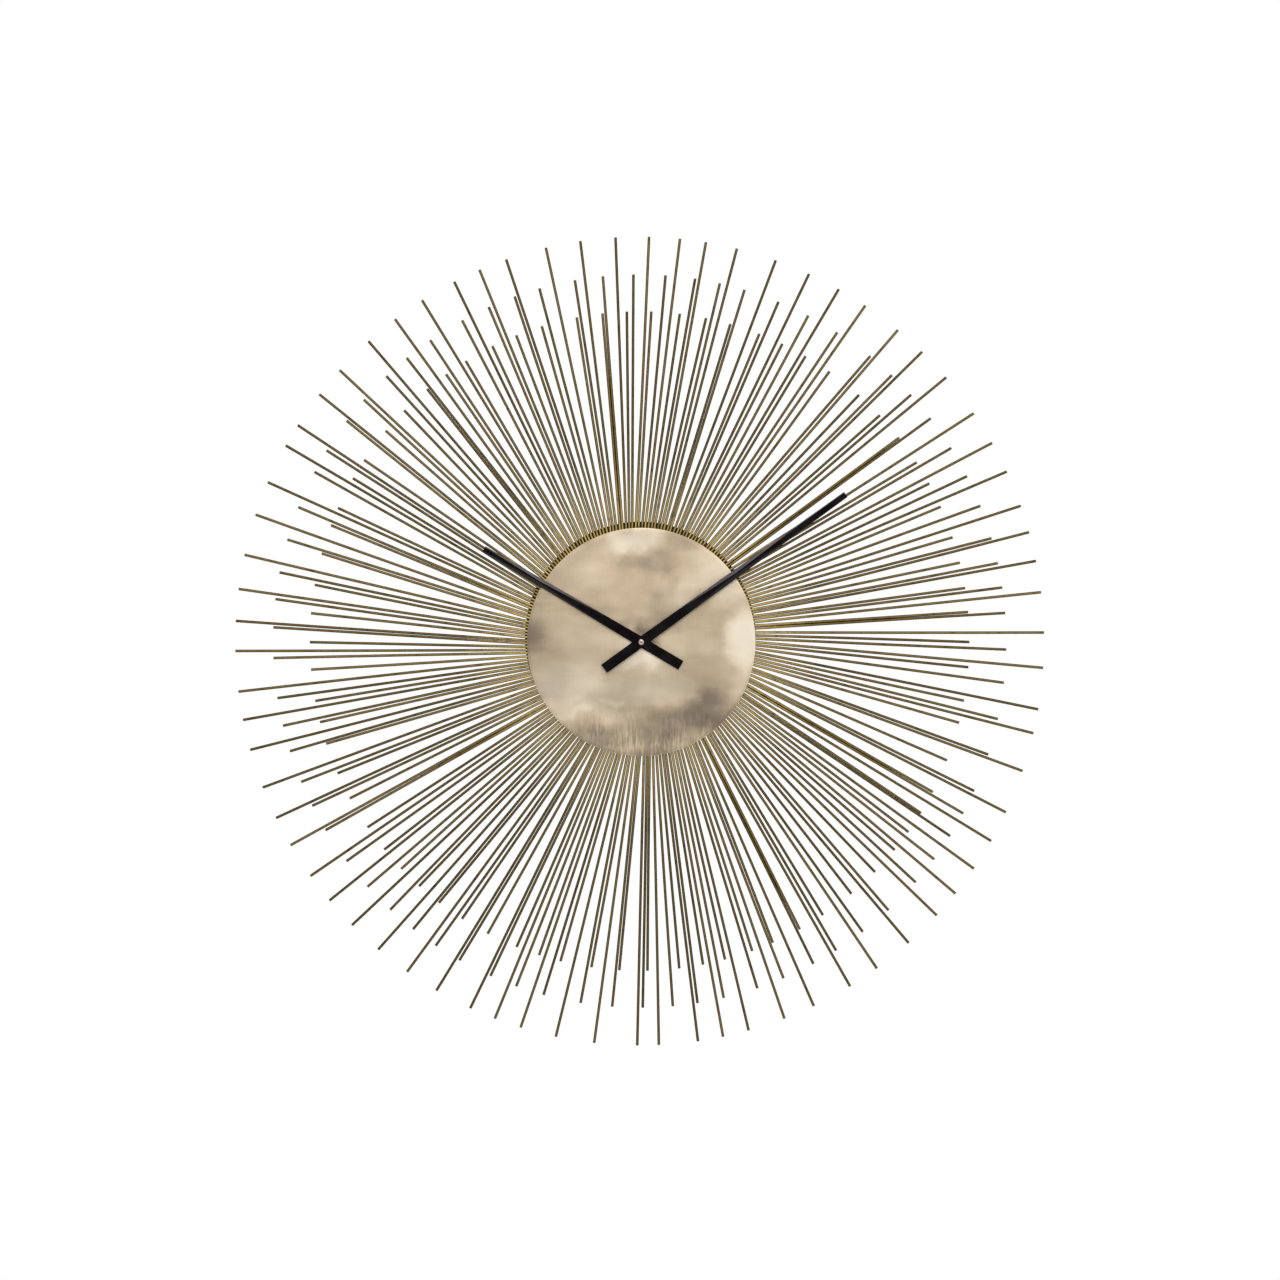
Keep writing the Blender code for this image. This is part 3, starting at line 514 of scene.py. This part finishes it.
def metal(name, colour, dull, roughness, grain, stretch=(1, 1, 1)):
    """Plain metal whose colour and gloss vary along its grain."""
    look = Look(name, metallic=1.0)
    marks = look.noise(grain, stretch, detail=4)
    look.set("Base Color", look.mix(look.spread(marks, 0.35, 0.75), colour, dull))
    look.set("Roughness", look.spread(marks, 0.3, 0.7, roughness - 0.06, roughness + 0.08))
    look.bump(marks, 0.01 * MM, 0.4)
    return look.material


def moulded(name, colour, worn, roughness, grain, height):
    """Moulded or painted material with a fine even texture and a little wear."""
    look = Look(name)
    texture = look.noise(grain, detail=2)
    dust = look.noise(18 * MM, detail=5)
    look.set("Base Color", look.mix(look.spread(dust, 0.45, 0.8, 0.0, 0.6), colour, worn))
    look.set("Roughness", look.spread(dust, 0.3, 0.7, roughness - 0.05, roughness + 0.08))
    look.bump(texture, height, 0.6)
    return look.material


def battery_sleeve():
    """A dark printed sleeve with one plain gold band, and bare steel at both ends."""
    look = Look("battery_sleeve", roughness=0.3)
    left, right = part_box("battery")[0].x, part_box("battery")[1].x
    x = look.node("SeparateXYZ", {0: look.place}).outputs["X"]
    band = look.math("GREATER_THAN", x, right - 15 * MM)
    cap = look.math("GREATER_THAN", x, right - 2.2 * MM)
    foot = look.math("LESS_THAN", x, left + 0.9 * MM)
    bare = look.math("MAXIMUM", cap, foot)
    scuffs = look.noise(6 * MM, (3, 1, 1), detail=5)
    sleeve = look.mix(band, srgb(38, 39, 43), srgb(188, 142, 74))
    sleeve = look.mix(look.spread(scuffs, 0.5, 0.8, 0.0, 0.35), sleeve, srgb(90, 88, 84))
    look.set("Base Color", look.mix(bare, sleeve, srgb(196, 196, 194)))
    look.set("Metallic", look.math("MAXIMUM", bare, look.math("MULTIPLY", band, 0.6)))
    look.set("Roughness", look.spread(scuffs, 0.3, 0.7, 0.24, 0.38))
    return look.material


def pale_floor():
    look = Look("pale_floor", roughness=0.8)
    grain = look.noise(0.3, detail=3)
    look.set("Base Color", look.mix(grain, srgb(251, 250, 248), srgb(254, 253, 252)))
    return look.material


# ---- The sunburst ----


def rod_lines():
    """For each bundle, the (index, root bearing, tip bearing, tip radius) of each of its rods."""
    bundles = []
    index = 0
    for fans in RAY_BUNDLES:
        lines = []
        for count, first, last in fans:
            pitch = (last - first) / (count - 1)
            stray = TIP_STRAY * (pitch - TOUCHING_PITCH)
            for k in range(count):
                tip = first + pitch * k + stray * math.sin(TIP_STRAY_STEP * index)
                root = FIRST_ROOT_BEARING + ROD_PITCH * index
                lines.append((index, root, tip, ROD_TIP_RADII[index % len(ROD_TIP_RADII)]))
                index += 1
        bundles.append(lines)
    return bundles


def add_tube(bm, line, radii, sides=14):
    """A round bar along a line of points in one depth, with a radius at each and closed ends."""
    run = (line[-1] - line[0]).normalized()
    out = Vector((0, -1, 0))
    across = run.cross(out)
    turns = [2 * math.pi * k / sides for k in range(sides)]
    rings = []
    for spot, radius in zip(line, radii):
        places = [spot + radius * (across * math.cos(turn) + out * math.sin(turn)) for turn in turns]
        rings.append([bm.verts.new(place) for place in places])
    capped_skin(bm, rings)


def add_rod(bm, line, depth, centre):
    """A nearly straight rod, from its weld on the bar to its sawn, slightly chamfered tip."""
    index, root, tip, tip_radius = line
    root_x, root_z = polar(WELD_BAR_RADII[1], root, centre)
    tip_x, tip_z = polar(tip_radius, tip, centre)
    start, end = Vector((root_x, -depth, root_z)), Vector((tip_x, -depth, tip_z))
    run = (end - start).normalized()
    chamfer = 0.3 * MM
    weld = ((-1.0, 1.62), (0.6, 1.64), (1.3, 1.58), (1.9, 1.5))  # (along the rod, radius), in mm
    spots = [start + run * (along * MM) for along, _ in weld]
    radii = [radius * MM for _, radius in weld]
    side = run.cross(Vector((0, 1, 0)))
    bow = ROD_BOW * math.sin(ROD_BOW_STEP * index)
    for share in (0.25, 0.5, 0.75):
        spots.append(start.lerp(end, share) + side * bow * math.sin(math.pi * share))
        radii.append(ROD_RADIUS)
    spots += [end - run * chamfer, end]
    radii += [ROD_RADIUS, ROD_RADIUS - chamfer]
    add_tube(bm, spots, radii)


def add_weld_bar(bm, lines, depths, centre):
    """One arc of the bar that the rods' roots are welded to, with rounded edges."""
    inner, outer = WELD_BAR_RADII
    low, high = depths
    edge = 0.4 * MM
    section = (
        (inner, low + edge),
        (inner + edge, low),
        (outer - edge, low),
        (outer, low + edge),
        (outer, high - edge),
        (outer - edge, high),
        (inner + edge, high),
        (inner, high - edge),
    )
    gap = math.degrees(0.15 * MM / outer)
    first = lines[0][1] - ROD_PITCH / 2 + gap
    last = lines[-1][1] + ROD_PITCH / 2 - gap
    steps = 2 * len(lines)
    rings = []
    for k in range(steps + 1):
        bearing = first + (last - first) * k / steps
        spots = [(*polar(radius, bearing, centre), depth) for radius, depth in section]
        rings.append([bm.verts.new((x, -depth, z)) for x, z, depth in spots])
    capped_skin(bm, rings)


def make_sunburst():
    brass = aged_rod_brass()
    centre = AXIS + SUNBURST_OFFSET
    tones = random.Random(7)
    for number, lines in enumerate(rod_lines(), start=1):
        node = f"ray_bundle_{number:02d}"
        depths = depths_of(node)
        bm = bmesh.new()
        tone = bm.verts.layers.float.new("tone")
        add_weld_bar(bm, lines, depths, centre)
        done = 0
        for line in lines:
            add_rod(bm, line, sum(depths) / 2, centre)
            bm.verts.ensure_lookup_table()
            rod_tone = tones.random()
            for vert in bm.verts[done:]:
                vert[tone] = rod_tone
            done = len(bm.verts)
        piece(f"rods_{number:02d}", finished(bm), brass, "clock_frame", [node])


# ---- The hub ----


def make_disc():
    """The disc, spun from sheet: a rounded rim, and a face that is not quite flat."""
    back, front = depths_of("dial_disc")
    radius = widths_of("dial_disc").x / 2
    hole = 5.0 * MM
    edge = 0.25 * MM
    profile = [(hole, back), (radius - 0.3 * MM, back), (radius, back + 0.3 * MM)]
    for k in range(7):
        turn = math.radians(15 * k)
        profile.append((radius - edge + edge * math.cos(turn), front - edge + edge * math.sin(turn)))
    face_rings = 26
    for k in range(1, face_rings + 1):
        profile.append((hole + (radius - edge - hole) * (1 - k / face_rings), front))
    mesh = turned(profile, 240)
    dent = 0.10 * MM  # the face is this much hollow, give or take a slow wave as deep
    for vert in mesh.vertices:
        if -vert.co.y > front - 0.05 * MM:
            x, z = vert.co.x - AXIS.x, vert.co.z - AXIS.z
            wave = math.sin(31 * x + 9 * z + 1.3) * math.sin(23 * z - 12 * x + 0.4)
            reach = math.hypot(x, z)
            fade = min(1.0, (radius - edge - reach) / (12 * MM))
            vert.co.y += (dent + dent * wave) * max(0.0, fade)
    piece("disc", mesh, champagne_brass(), "clock_frame", ["dial_disc"])


def make_back_plate(paint):
    """A round plate with a hole for the movement's bush and for each stud, bumper and rivet."""
    hole_radii = {
        "dial_nut_1": STUD_HOLE_RADIUS,
        "dial_nut_2": STUD_HOLE_RADIUS,
        "dial_nut_3": STUD_HOLE_RADIUS,
        "wall_bumper_left": BUMPER_HOLE_RADIUS,
        "wall_bumper_right": BUMPER_HOLE_RADIUS,
        "hanger_rivet_left": RIVET_HOLE_RADIUS,
        "hanger_rivet_right": RIVET_HOLE_RADIUS,
    }
    holes = [circle(BUSH_HOLE_RADIUS, 48)]
    holes += [circle(radius, 32, middle_of(node)) for node, radius in hole_radii.items()]
    outline = circle(widths_of("back_plate").x / 2, 200, middle_of("back_plate"))
    mesh = prism(outline, depths_of("back_plate"), holes)
    piece("back_plate_painted", mesh, paint, "clock_frame", ["back_plate"], edge=0.25 * MM)


HANGER_THICKNESS = 2.0 * MM
HANGER_BRIDGE = 20 * MM  # half the width of the part that stands on the wall
KEYHOLE_SLOT_RADIUS = 2.5 * MM
KEYHOLE_HEAD_RADIUS = 5.5 * MM
KEYHOLE_HEAD_DROP = 13 * MM


def hanger_strip():
    """The hanger's bent strip, without its holes."""
    low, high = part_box("hanger_bracket")
    flange_depth = -low.y
    thickness = HANGER_THICKNESS
    flange = high.x
    bridge = HANGER_BRIDGE
    right = [
        (bridge, 0.0),
        (bridge, flange_depth - thickness),
        (flange, flange_depth - thickness),
        (flange, flange_depth),
        (bridge - thickness, flange_depth),
        (bridge - thickness, thickness),
    ]
    section = right + [(-x, depth) for x, depth in reversed(right)]
    bm = bmesh.new()
    rings = [[bm.verts.new((x, -depth, z)) for x, depth in section] for z in (low.z, high.z)]
    capped_skin(bm, rings)
    return finished(bm)


def make_hanger(zinc):
    """The strip with its keyhole, whose seat is the CAD's origin, and two rivet holes."""
    radius, drop = KEYHOLE_SLOT_RADIUS, KEYHOLE_HEAD_DROP
    slot = [polar(radius, 90 - 180 * k / 24, Vector()) for k in range(25)]
    slot += [(-radius, -drop), (radius, -drop)]
    reach = (-3 * MM, 5 * MM)
    cutters = [prism(slot, reach), prism(circle(KEYHOLE_HEAD_RADIUS, 64, at(0, -drop)), reach)]
    for rivet in ("hanger_rivet_left", "hanger_rivet_right"):
        cutters.append(prism(circle(RIVET_HOLE_RADIUS, 32, middle_of(rivet)), (10 * MM, 22 * MM)))
    mesh = cut(hanger_strip(), *cutters)
    piece("hanger", mesh, zinc, "clock_frame", ["hanger_bracket"], edge=0.35 * MM)


def make_rivets(zinc):
    """Rivets with a domed head behind the hanger and a flattened one in front of the back plate."""
    plate_front = depths_of("back_plate")[1] + SEAT_GAP
    flange_back = depths_of("hanger_bracket")[1] - HANGER_THICKNESS - SEAT_GAP
    for side in ("left", "right"):
        node = f"hanger_rivet_{side}"
        back, front = depths_of(node)
        head = flange_back - back
        profile = [(0, back)]
        for k in range(1, 9):
            turn = math.radians(90 * k / 8)
            profile.append((3.6 * MM * math.sin(turn), back + head * (1 - math.cos(turn))))
        profile += [(2.0 * MM, flange_back), (2.0 * MM, plate_front), (3.4 * MM, plate_front)]
        profile += [(3.2 * MM, plate_front + 0.5 * MM), (2.4 * MM, front), (0, front)]
        mesh = turned(profile, 40, middle_of(node))
        piece(f"rivet_{side}", mesh, zinc, "clock_frame", [node])


def make_bumpers(rubber):
    """Moulded rubber bumpers with a dished face that grips the wall."""
    top = depths_of("back_plate")[0] - SEAT_GAP
    barb = depths_of("back_plate")[1] + SEAT_GAP
    profile = [(0, 0.5 * MM), (4.4 * MM, 0.5 * MM), (4.9 * MM, 0.0)]
    profile += [(6.9 * MM, 0.0), (7.5 * MM, 0.25 * MM), (7.8 * MM, 0.9 * MM)]
    profile += [(8.2 * MM, 5.0 * MM), (8.0 * MM, 5.4 * MM), (8.3 * MM, 5.8 * MM)]
    profile += [(9.3 * MM, top - 1.0 * MM), (9.45 * MM, top - 0.3 * MM), (9.2 * MM, top)]
    profile += [(2.3 * MM, top), (2.3 * MM, barb), (3.2 * MM, barb + 0.3 * MM)]
    profile += [(2.6 * MM, barb + 1.2 * MM), (1.8 * MM, barb + 2.0 * MM), (0, barb + 2.0 * MM)]
    for side in ("left", "right"):
        node = f"wall_bumper_{side}"
        mesh = turned(profile, 56, middle_of(node))
        piece(f"bumper_{side}", mesh, rubber, "clock_frame", [node])


# ---- The hands ----


def hand_section(half_width, depths, facet):
    """A flat bar's section. Each side of its front is bevelled back over a share of the half width."""
    back, front = depths
    edge = 0.06 * MM
    side = front - max(edge, HAND_FACET_DROP * facet)
    land = (half_width - edge) * (1 - facet)
    right = [(half_width - edge, back), (half_width, back + edge), (half_width, side), (land, front)]
    return right + [(-x, depth) for x, depth in reversed(right)]


def facet_share(place):
    """How far the bevels reach in from the edges. It grows from the hub outwards, then shrinks again."""
    stages = (place - HAND_FACET_START) / HAND_FACET_GROWTH
    opened = min(1.0, max(0.0, stages))
    closed = min(1.0, max(0.0, stages - 1))
    return HAND_FACET_WIDEST * opened - HAND_FACET_SHRINKAGE * closed


def hand_mesh(reach, depths, bearing, bore):
    """A bar that grows narrower towards its tip, bored for the tube that carries it."""
    tail, tip = (width / 2 for width in HAND_WIDTHS)
    angle = math.radians(bearing)
    along = Vector((math.sin(angle), 0, math.cos(angle)))
    across = Vector((math.cos(angle), 0, -math.sin(angle)))
    steps = 28
    faceted = reach - HAND_FACET_START
    stations = [-HAND_TAIL, 0.0]
    stations += [HAND_FACET_START + faceted * k / steps for k in range(steps + 1)]
    bm = bmesh.new()
    rings = []
    for place in stations:
        half_width = tail + (tip - tail) * max(0.0, place / reach)
        section = hand_section(half_width, depths, facet_share(place))
        spine = AXIS + along * place
        rings.append([bm.verts.new(spine + across * x - Vector((0, depth, 0))) for x, depth in section])
    capped_skin(bm, rings)
    back, front = depths
    drill = turned([(0, back - MM), (bore, back - MM), (bore, front + MM), (0, front + MM)], 48)
    return cut(finished(bm), drill)


def make_hands():
    lacquer = gloss_black_lacquer()
    hands = (
        ("hour_hand", HOUR_REACH, HOUR_BEARING, COLLET_HOLE_RADIUS),
        ("minute_hand", MINUTE_REACH, MINUTE_BEARING, ARBOR_HOLE_RADIUS),
    )
    for node, reach, bearing, bore in hands:
        mesh = hand_mesh(reach, depths_of(node), bearing, bore)
        piece(f"{node}_lacquered", mesh, lacquer, node, [node], crease=4)


def make_hand_nut():
    """A small domed cap nut with a flange at its foot and a dimple in its top."""
    nickel = metal("polished_nickel", srgb(196, 176, 166), srgb(138, 116, 104), 0.2, 1.5 * MM)
    foot, top = depths_of("hand_nut")
    radius = widths_of("hand_nut").x / 2
    side = radius - 0.12 * MM
    dome = radius - 0.3 * MM
    dome_height = 1.05 * MM
    bore = ARBOR_HOLE_RADIUS
    profile = [(bore, foot), (radius, foot), (radius, foot + 0.25 * MM), (side, foot + 0.4 * MM)]
    profile += [(side, top - 1.25 * MM), (dome, top - dome_height)]
    for k in range(1, 8):
        turn = math.radians(10 + 80 * k / 8)
        profile.append((dome * math.cos(turn), top - dome_height + dome_height * math.sin(turn)))
    profile += [(0.9 * MM, top), (0.8 * MM, top - 0.7 * MM), (0, top - 0.9 * MM)]
    profile += [(0, top - 1.2 * MM), (bore, top - 1.4 * MM)]
    mesh = turned(profile, 64)
    piece("nut", mesh, nickel, "minute_hand", ["hand_nut"])


# ---- The movement ----


def make_case(plastic):
    """The case's shell: round corners, a bay for the works and one for the battery, and three posts."""
    low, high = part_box("movement_front_case")
    back, front = depths_of("movement_front_case")
    wall = 1.2 * MM
    floor = front - wall
    rib_low, rib_high = AXIS.z - 11.6 * MM, AXIS.z - 10.4 * MM
    post_radius, post_back = 1.6 * MM, 10.6 * MM
    block = prism(rounded_rectangle((low.x, high.x), (low.z, high.z), 2.5 * MM), (back, front))
    inner_x = (low.x + wall, high.x - wall)
    bays = [
        prism(rounded_rectangle(inner_x, (low.z + wall, rib_low), 1.3 * MM), (back - MM, floor)),
        prism(rounded_rectangle(inner_x, (rib_high, high.z - wall), 1.3 * MM), (back - MM, floor)),
    ]
    bush = prism(circle(BUSH_HOLE_RADIUS, 48), (floor - MM, front + MM))
    finger_notch = prism(circle(7.5 * MM, 40, at(0, low.z + 1.0 * MM)), (back - MM, back + 4 * MM))
    shell = cut(block, *bays, bush, finger_notch)
    posts = [
        prism(circle(post_radius, 24, AXIS + at(x * MM, z * MM)), (post_back, floor + wall / 2))
        for x, z in ((-17, -7), (-17, 15.5), (17, 15.5))
    ]
    mesh = joined(shell, *posts)
    piece("case", mesh, plastic, "clock_frame", ["movement_front_case"], edge=0.3 * MM)


def make_cover(plastic):
    """The back cover, with a raised border, a collar around the knob and four raised bars."""
    low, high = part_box("movement_rear_cover")
    back, front = depths_of("movement_rear_cover")
    knob = joint_place("setting_knob_turn")
    sheet_back = back + 0.5 * MM
    sunk = sheet_back + 0.3 * MM  # how deep the raised parts reach into the sheet

    def inset(margin, radius):
        """The cover's outline, less a margin."""
        x = (low.x + margin, high.x - margin)
        z = (low.z + margin, high.z - margin)
        return rounded_rectangle(x, z, radius)

    sheet = prism(inset(0, 1.0 * MM), (sheet_back, front), [circle(5.8 * MM, 64, knob)])
    border_hole = inset(1.2 * MM, 0.6 * MM)
    border = prism(inset(0.05 * MM, 1.0 * MM), (back, sunk), [border_hole])
    collar = prism(circle(6.8 * MM, 64, knob), (back, sunk), [circle(5.85 * MM, 64, knob)])
    bars = []
    for rise in (4, 9, 14, 19):
        z = AXIS.z + rise * MM
        bar = rounded_rectangle((low.x + 5 * MM, low.x + 22 * MM), (z, z + 1.2 * MM), 0.5 * MM, 3)
        bars.append(prism(bar, (back + 0.1 * MM, sunk)))
    mesh = joined(sheet, border, collar, *bars)
    piece("cover", mesh, plastic, "clock_frame", ["movement_rear_cover"], edge=0.12 * MM)


def along_x(mesh, height, depth):
    """Turns a shape made around the Y axis at the origin to a line along X."""
    mesh.transform(Matrix.Translation((0, -depth, height)) @ Matrix.Rotation(math.radians(90), 4, "Z"))
    return mesh


def make_battery():
    """An AA cell with crimped ends and a nub on the right."""
    low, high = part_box("battery")
    radius = (high.z - low.z) / 2
    crimp = radius - 0.25 * MM
    left, nub_end = low.x, high.x
    right = nub_end - 1.1 * MM
    profile = [(0, left + 0.25 * MM), (3.6 * MM, left + 0.25 * MM), (4.1 * MM, left)]
    profile += [(radius - 0.7 * MM, left), (crimp, left + 0.12 * MM), (radius, left + 0.5 * MM)]
    profile += [(radius, right - 0.5 * MM), (crimp, right - 0.12 * MM), (radius - 0.8 * MM, right)]
    profile += [(3.4 * MM, right - 0.1 * MM), (2.7 * MM, right + 0.1 * MM)]
    profile += [(2.7 * MM, nub_end - 0.25 * MM), (2.4 * MM, nub_end), (0, nub_end)]
    middle = middle_of("battery")
    mesh = along_x(turned(profile, 64, Vector()), middle.z, -middle.y)
    piece("cell", mesh, battery_sleeve(), "battery", ["battery"])


def make_contact_spring(steel):
    """The negative contact: a flat leaf with a flattened conical spring of wire."""
    low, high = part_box("contact_negative")
    middle = middle_of("battery")
    leaf_front = low.x + 0.5 * MM
    wire = 0.22 * MM
    bm = bmesh.new()
    leaf = [(low.x, low.z), (leaf_front, low.z), (leaf_front, high.z), (low.x, high.z)]
    bm.from_mesh(prism(leaf, depths_of("contact_negative")))
    turns, steps = 2.5, 60
    along = Vector((1, 0, 0))
    start, stop = leaf_front + wire * 0.5, high.x - wire
    rings = []
    for k in range(steps + 1):
        share = k / steps
        angle = 2 * math.pi * turns * share
        radius = (3.4 - 1.9 * share) * MM
        out = Vector((0, math.cos(angle), math.sin(angle)))
        spot = Vector((start + (stop - start) * share, middle.y, middle.z)) + out * radius
        around = [math.pi * j / 4 for j in range(8)]
        places = [spot + wire * (out * math.cos(turn) + along * math.sin(turn)) for turn in around]
        rings.append([bm.verts.new(place) for place in places])
    capped_skin(bm, rings)
    piece("contact_spring", finished(bm), steel, "clock_frame", ["contact_negative"])


def make_movement():
    plastic = moulded("case_plastic", srgb(26, 26, 28), srgb(46, 45, 44), 0.46, 0.5 * MM, 0.02 * MM)
    resin = moulded("train_resin", srgb(226, 221, 205), srgb(206, 199, 180), 0.42, 1.2 * MM, 0.01 * MM)
    plate = moulded("plate_resin", srgb(188, 196, 196), srgb(166, 172, 172), 0.36, 1.5 * MM, 0.01 * MM)
    magnet = moulded("bonded_magnet", srgb(112, 112, 115), srgb(84, 84, 86), 0.4, 0.6 * MM, 0.01 * MM)
    board = moulded("solder_mask", srgb(24, 96, 52), srgb(38, 120, 70), 0.34, 2 * MM, 0.01 * MM)
    brass = metal("turned_brass", srgb(224, 200, 140), srgb(182, 154, 98), 0.26, 3 * MM)
    steel = metal("stamped_steel", srgb(178, 178, 180), srgb(140, 140, 142), 0.36, 1.5 * MM, (6, 1, 1))
    copper = metal("enamelled_wire", srgb(206, 118, 72), srgb(150, 74, 40), 0.3, 0.3 * MM, (1, 20, 20))
    bright = metal("contact_metal", srgb(216, 216, 212), srgb(178, 176, 170), 0.24, 2 * MM)
    make_case(plastic)
    make_cover(plastic)
    make_battery()
    make_contact_spring(bright)
    fine = 0.06 * MM
    for wheel in ("intermediate", "seconds", "third", "centre", "motion", "hour"):
        dress(f"{wheel}_wheel", resin, fine)
    dress("coil_bobbin", resin, fine)
    dress("setting_knob", plastic, 0.15 * MM)
    dress("train_plate", plate, 0.1 * MM)
    dress("rotor", magnet, fine)
    dress("circuit_board", board, 0.08 * MM)
    for node in ("minute_arbor", "threaded_bush", "clamp_washer", "clamp_nut", "hour_hand_collet"):
        dress(node, brass, fine)
    dress("stator", steel, fine)
    dress("coil_winding", copper)
    dress("quartz_crystal", bright, fine)
    dress("contact_positive", bright, fine)


def make_hub():
    paint = moulded("black_powder_coat", srgb(20, 18, 17), srgb(38, 35, 32), 0.5, 0.7 * MM, 0.04 * MM)
    zinc = metal("bright_zinc", srgb(202, 204, 204), srgb(160, 164, 166), 0.3, 4 * MM, (1, 1, 3))
    rubber = moulded("black_rubber", srgb(24, 24, 24), srgb(44, 43, 42), 0.75, 0.4 * MM, 0.02 * MM)
    make_disc()
    make_back_plate(paint)
    make_hanger(zinc)
    make_rivets(zinc)
    make_bumpers(rubber)
    dress("rubber_washer", rubber, 0.1 * MM)
    for number in (1, 2, 3):
        dress(f"dial_stud_{number}", zinc, 0.1 * MM)
        dress(f"dial_nut_{number}", zinc, 0.2 * MM)


# ---- Studio ----


def aim(obj, place, target):
    obj.location = place
    obj.rotation_euler = (target - place).to_track_quat("-Z", "Y").to_euler()


def softbox(name, azimuth, elevation, size, radiance, colour=(1, 1, 1)):
    """A rectangular light that faces the dial's axis. Azimuth 0 is in front, and 90 to the right."""
    a, e = math.radians(azimuth), math.radians(elevation)
    direction = Vector((math.sin(a) * math.cos(e), -math.cos(a) * math.cos(e), math.sin(e)))
    data = bpy.data.lights.new(name, "AREA")
    data.shape = "RECTANGLE"
    data.size, data.size_y = size
    data.energy = radiance * math.pi * size[0] * size[1]
    data.color = colour
    lamp = bpy.data.objects.new(name, data)
    lamp.visible_camera = False
    bpy.context.scene.collection.objects.link(lamp)
    aim(lamp, AXIS + direction * SOFTBOX_DISTANCE, AXIS)


def make_world():
    """A white room. In reflections its front is bright, and its sides and back are dim."""
    world = bpy.data.worlds.new("studio")
    world.use_nodes = True
    bpy.context.scene.world = world
    nodes, links = world.node_tree.nodes, world.node_tree.links
    direction = nodes.new("ShaderNodeSeparateXYZ")
    links.new(nodes.new("ShaderNodeTexCoord").outputs["Generated"], direction.inputs[0])

    def spread(value, low, high, to_low, to_high):
        made = nodes.new("ShaderNodeMapRange")
        made.interpolation_type = "SMOOTHSTEP"
        links.new(value, made.inputs["Value"])
        limits = {"From Min": low, "From Max": high, "To Min": to_low, "To Max": to_high}
        for name, limit in limits.items():
            made.inputs[name].default_value = limit
        return made.outputs["Result"]

    front = spread(direction.outputs["Y"], -0.35, -0.9, WORLD_SIDES, WORLD_FRONT)
    above = spread(direction.outputs["Z"], -0.1, 0.5, WORLD_BELOW, WORLD_ABOVE)
    gap = spread(direction.outputs["Y"], -0.975, -0.993, 1.0, WORLD_CAMERA)
    product = front
    for factor in (above, gap):
        multiply = nodes.new("ShaderNodeMath")
        multiply.operation = "MULTIPLY"
        links.new(product, multiply.inputs[0])
        links.new(factor, multiply.inputs[1])
        product = multiply.outputs[0]
    seen = nodes.new("ShaderNodeMix")
    links.new(nodes.new("ShaderNodeLightPath").outputs["Is Glossy Ray"], seen.inputs["Factor"])
    seen.inputs["A"].default_value = 1.0
    links.new(product, seen.inputs["B"])
    background = nodes["Background"]
    background.inputs["Color"].default_value = (1, 1, 1, 1)
    links.new(seen.outputs["Result"], background.inputs["Strength"])


def make_lights():
    softbox("strip_front", 0, 21, (1.7, 0.4), 3.8, (1.0, 0.95, 0.97))
    softbox("key_above", 0, 50, (3.0, 1.4), 2.0, (1.0, 0.98, 0.95))
    softbox("fill_left", -52, 10, (1.2, 2.4), 0.9)
    softbox("fill_right", 48, 8, (1.2, 2.4), 1.3)
    softbox("back_left", 215, 35, (1.8, 1.8), 1.6)
    softbox("back_right", 140, 20, (1.8, 1.8), 1.2)


def make_floor():
    mesh = bpy.data.meshes.new("floor")
    height = AXIS.z - FLOOR_DROP
    edge = [(x, y, height) for x, y in circle(FLOOR_RADIUS, 96)]
    mesh.from_pydata(edge, [], [range(len(edge))])
    mesh.materials.append(pale_floor())
    floor = bpy.data.objects.new("floor", mesh)
    bpy.context.scene.collection.objects.link(floor)


def make_camera():
    """A camera square to the dial, with the whole clock in its picture."""
    data = bpy.data.cameras.new("camera")
    data.lens = LENS
    data.sensor_width = 36
    camera = bpy.data.objects.new("camera", data)
    bpy.context.scene.collection.objects.link(camera)
    bpy.context.scene.camera = camera
    dial = AXIS - Vector((0, depths_of("dial_disc")[1], 0))
    distance = PICTURE_WIDTH / 2 / math.tan(math.atan(data.sensor_width / 2 / LENS))
    target = dial + PICTURE_CENTRE
    aim(camera, target - Vector((0, distance, 0)), target)
    bpy.context.scene.view_settings.view_transform = "Standard"


make_sunburst()
make_hub()
make_hands()
make_hand_nut()
make_movement()
make_lights()
make_world()
make_floor()
make_camera()
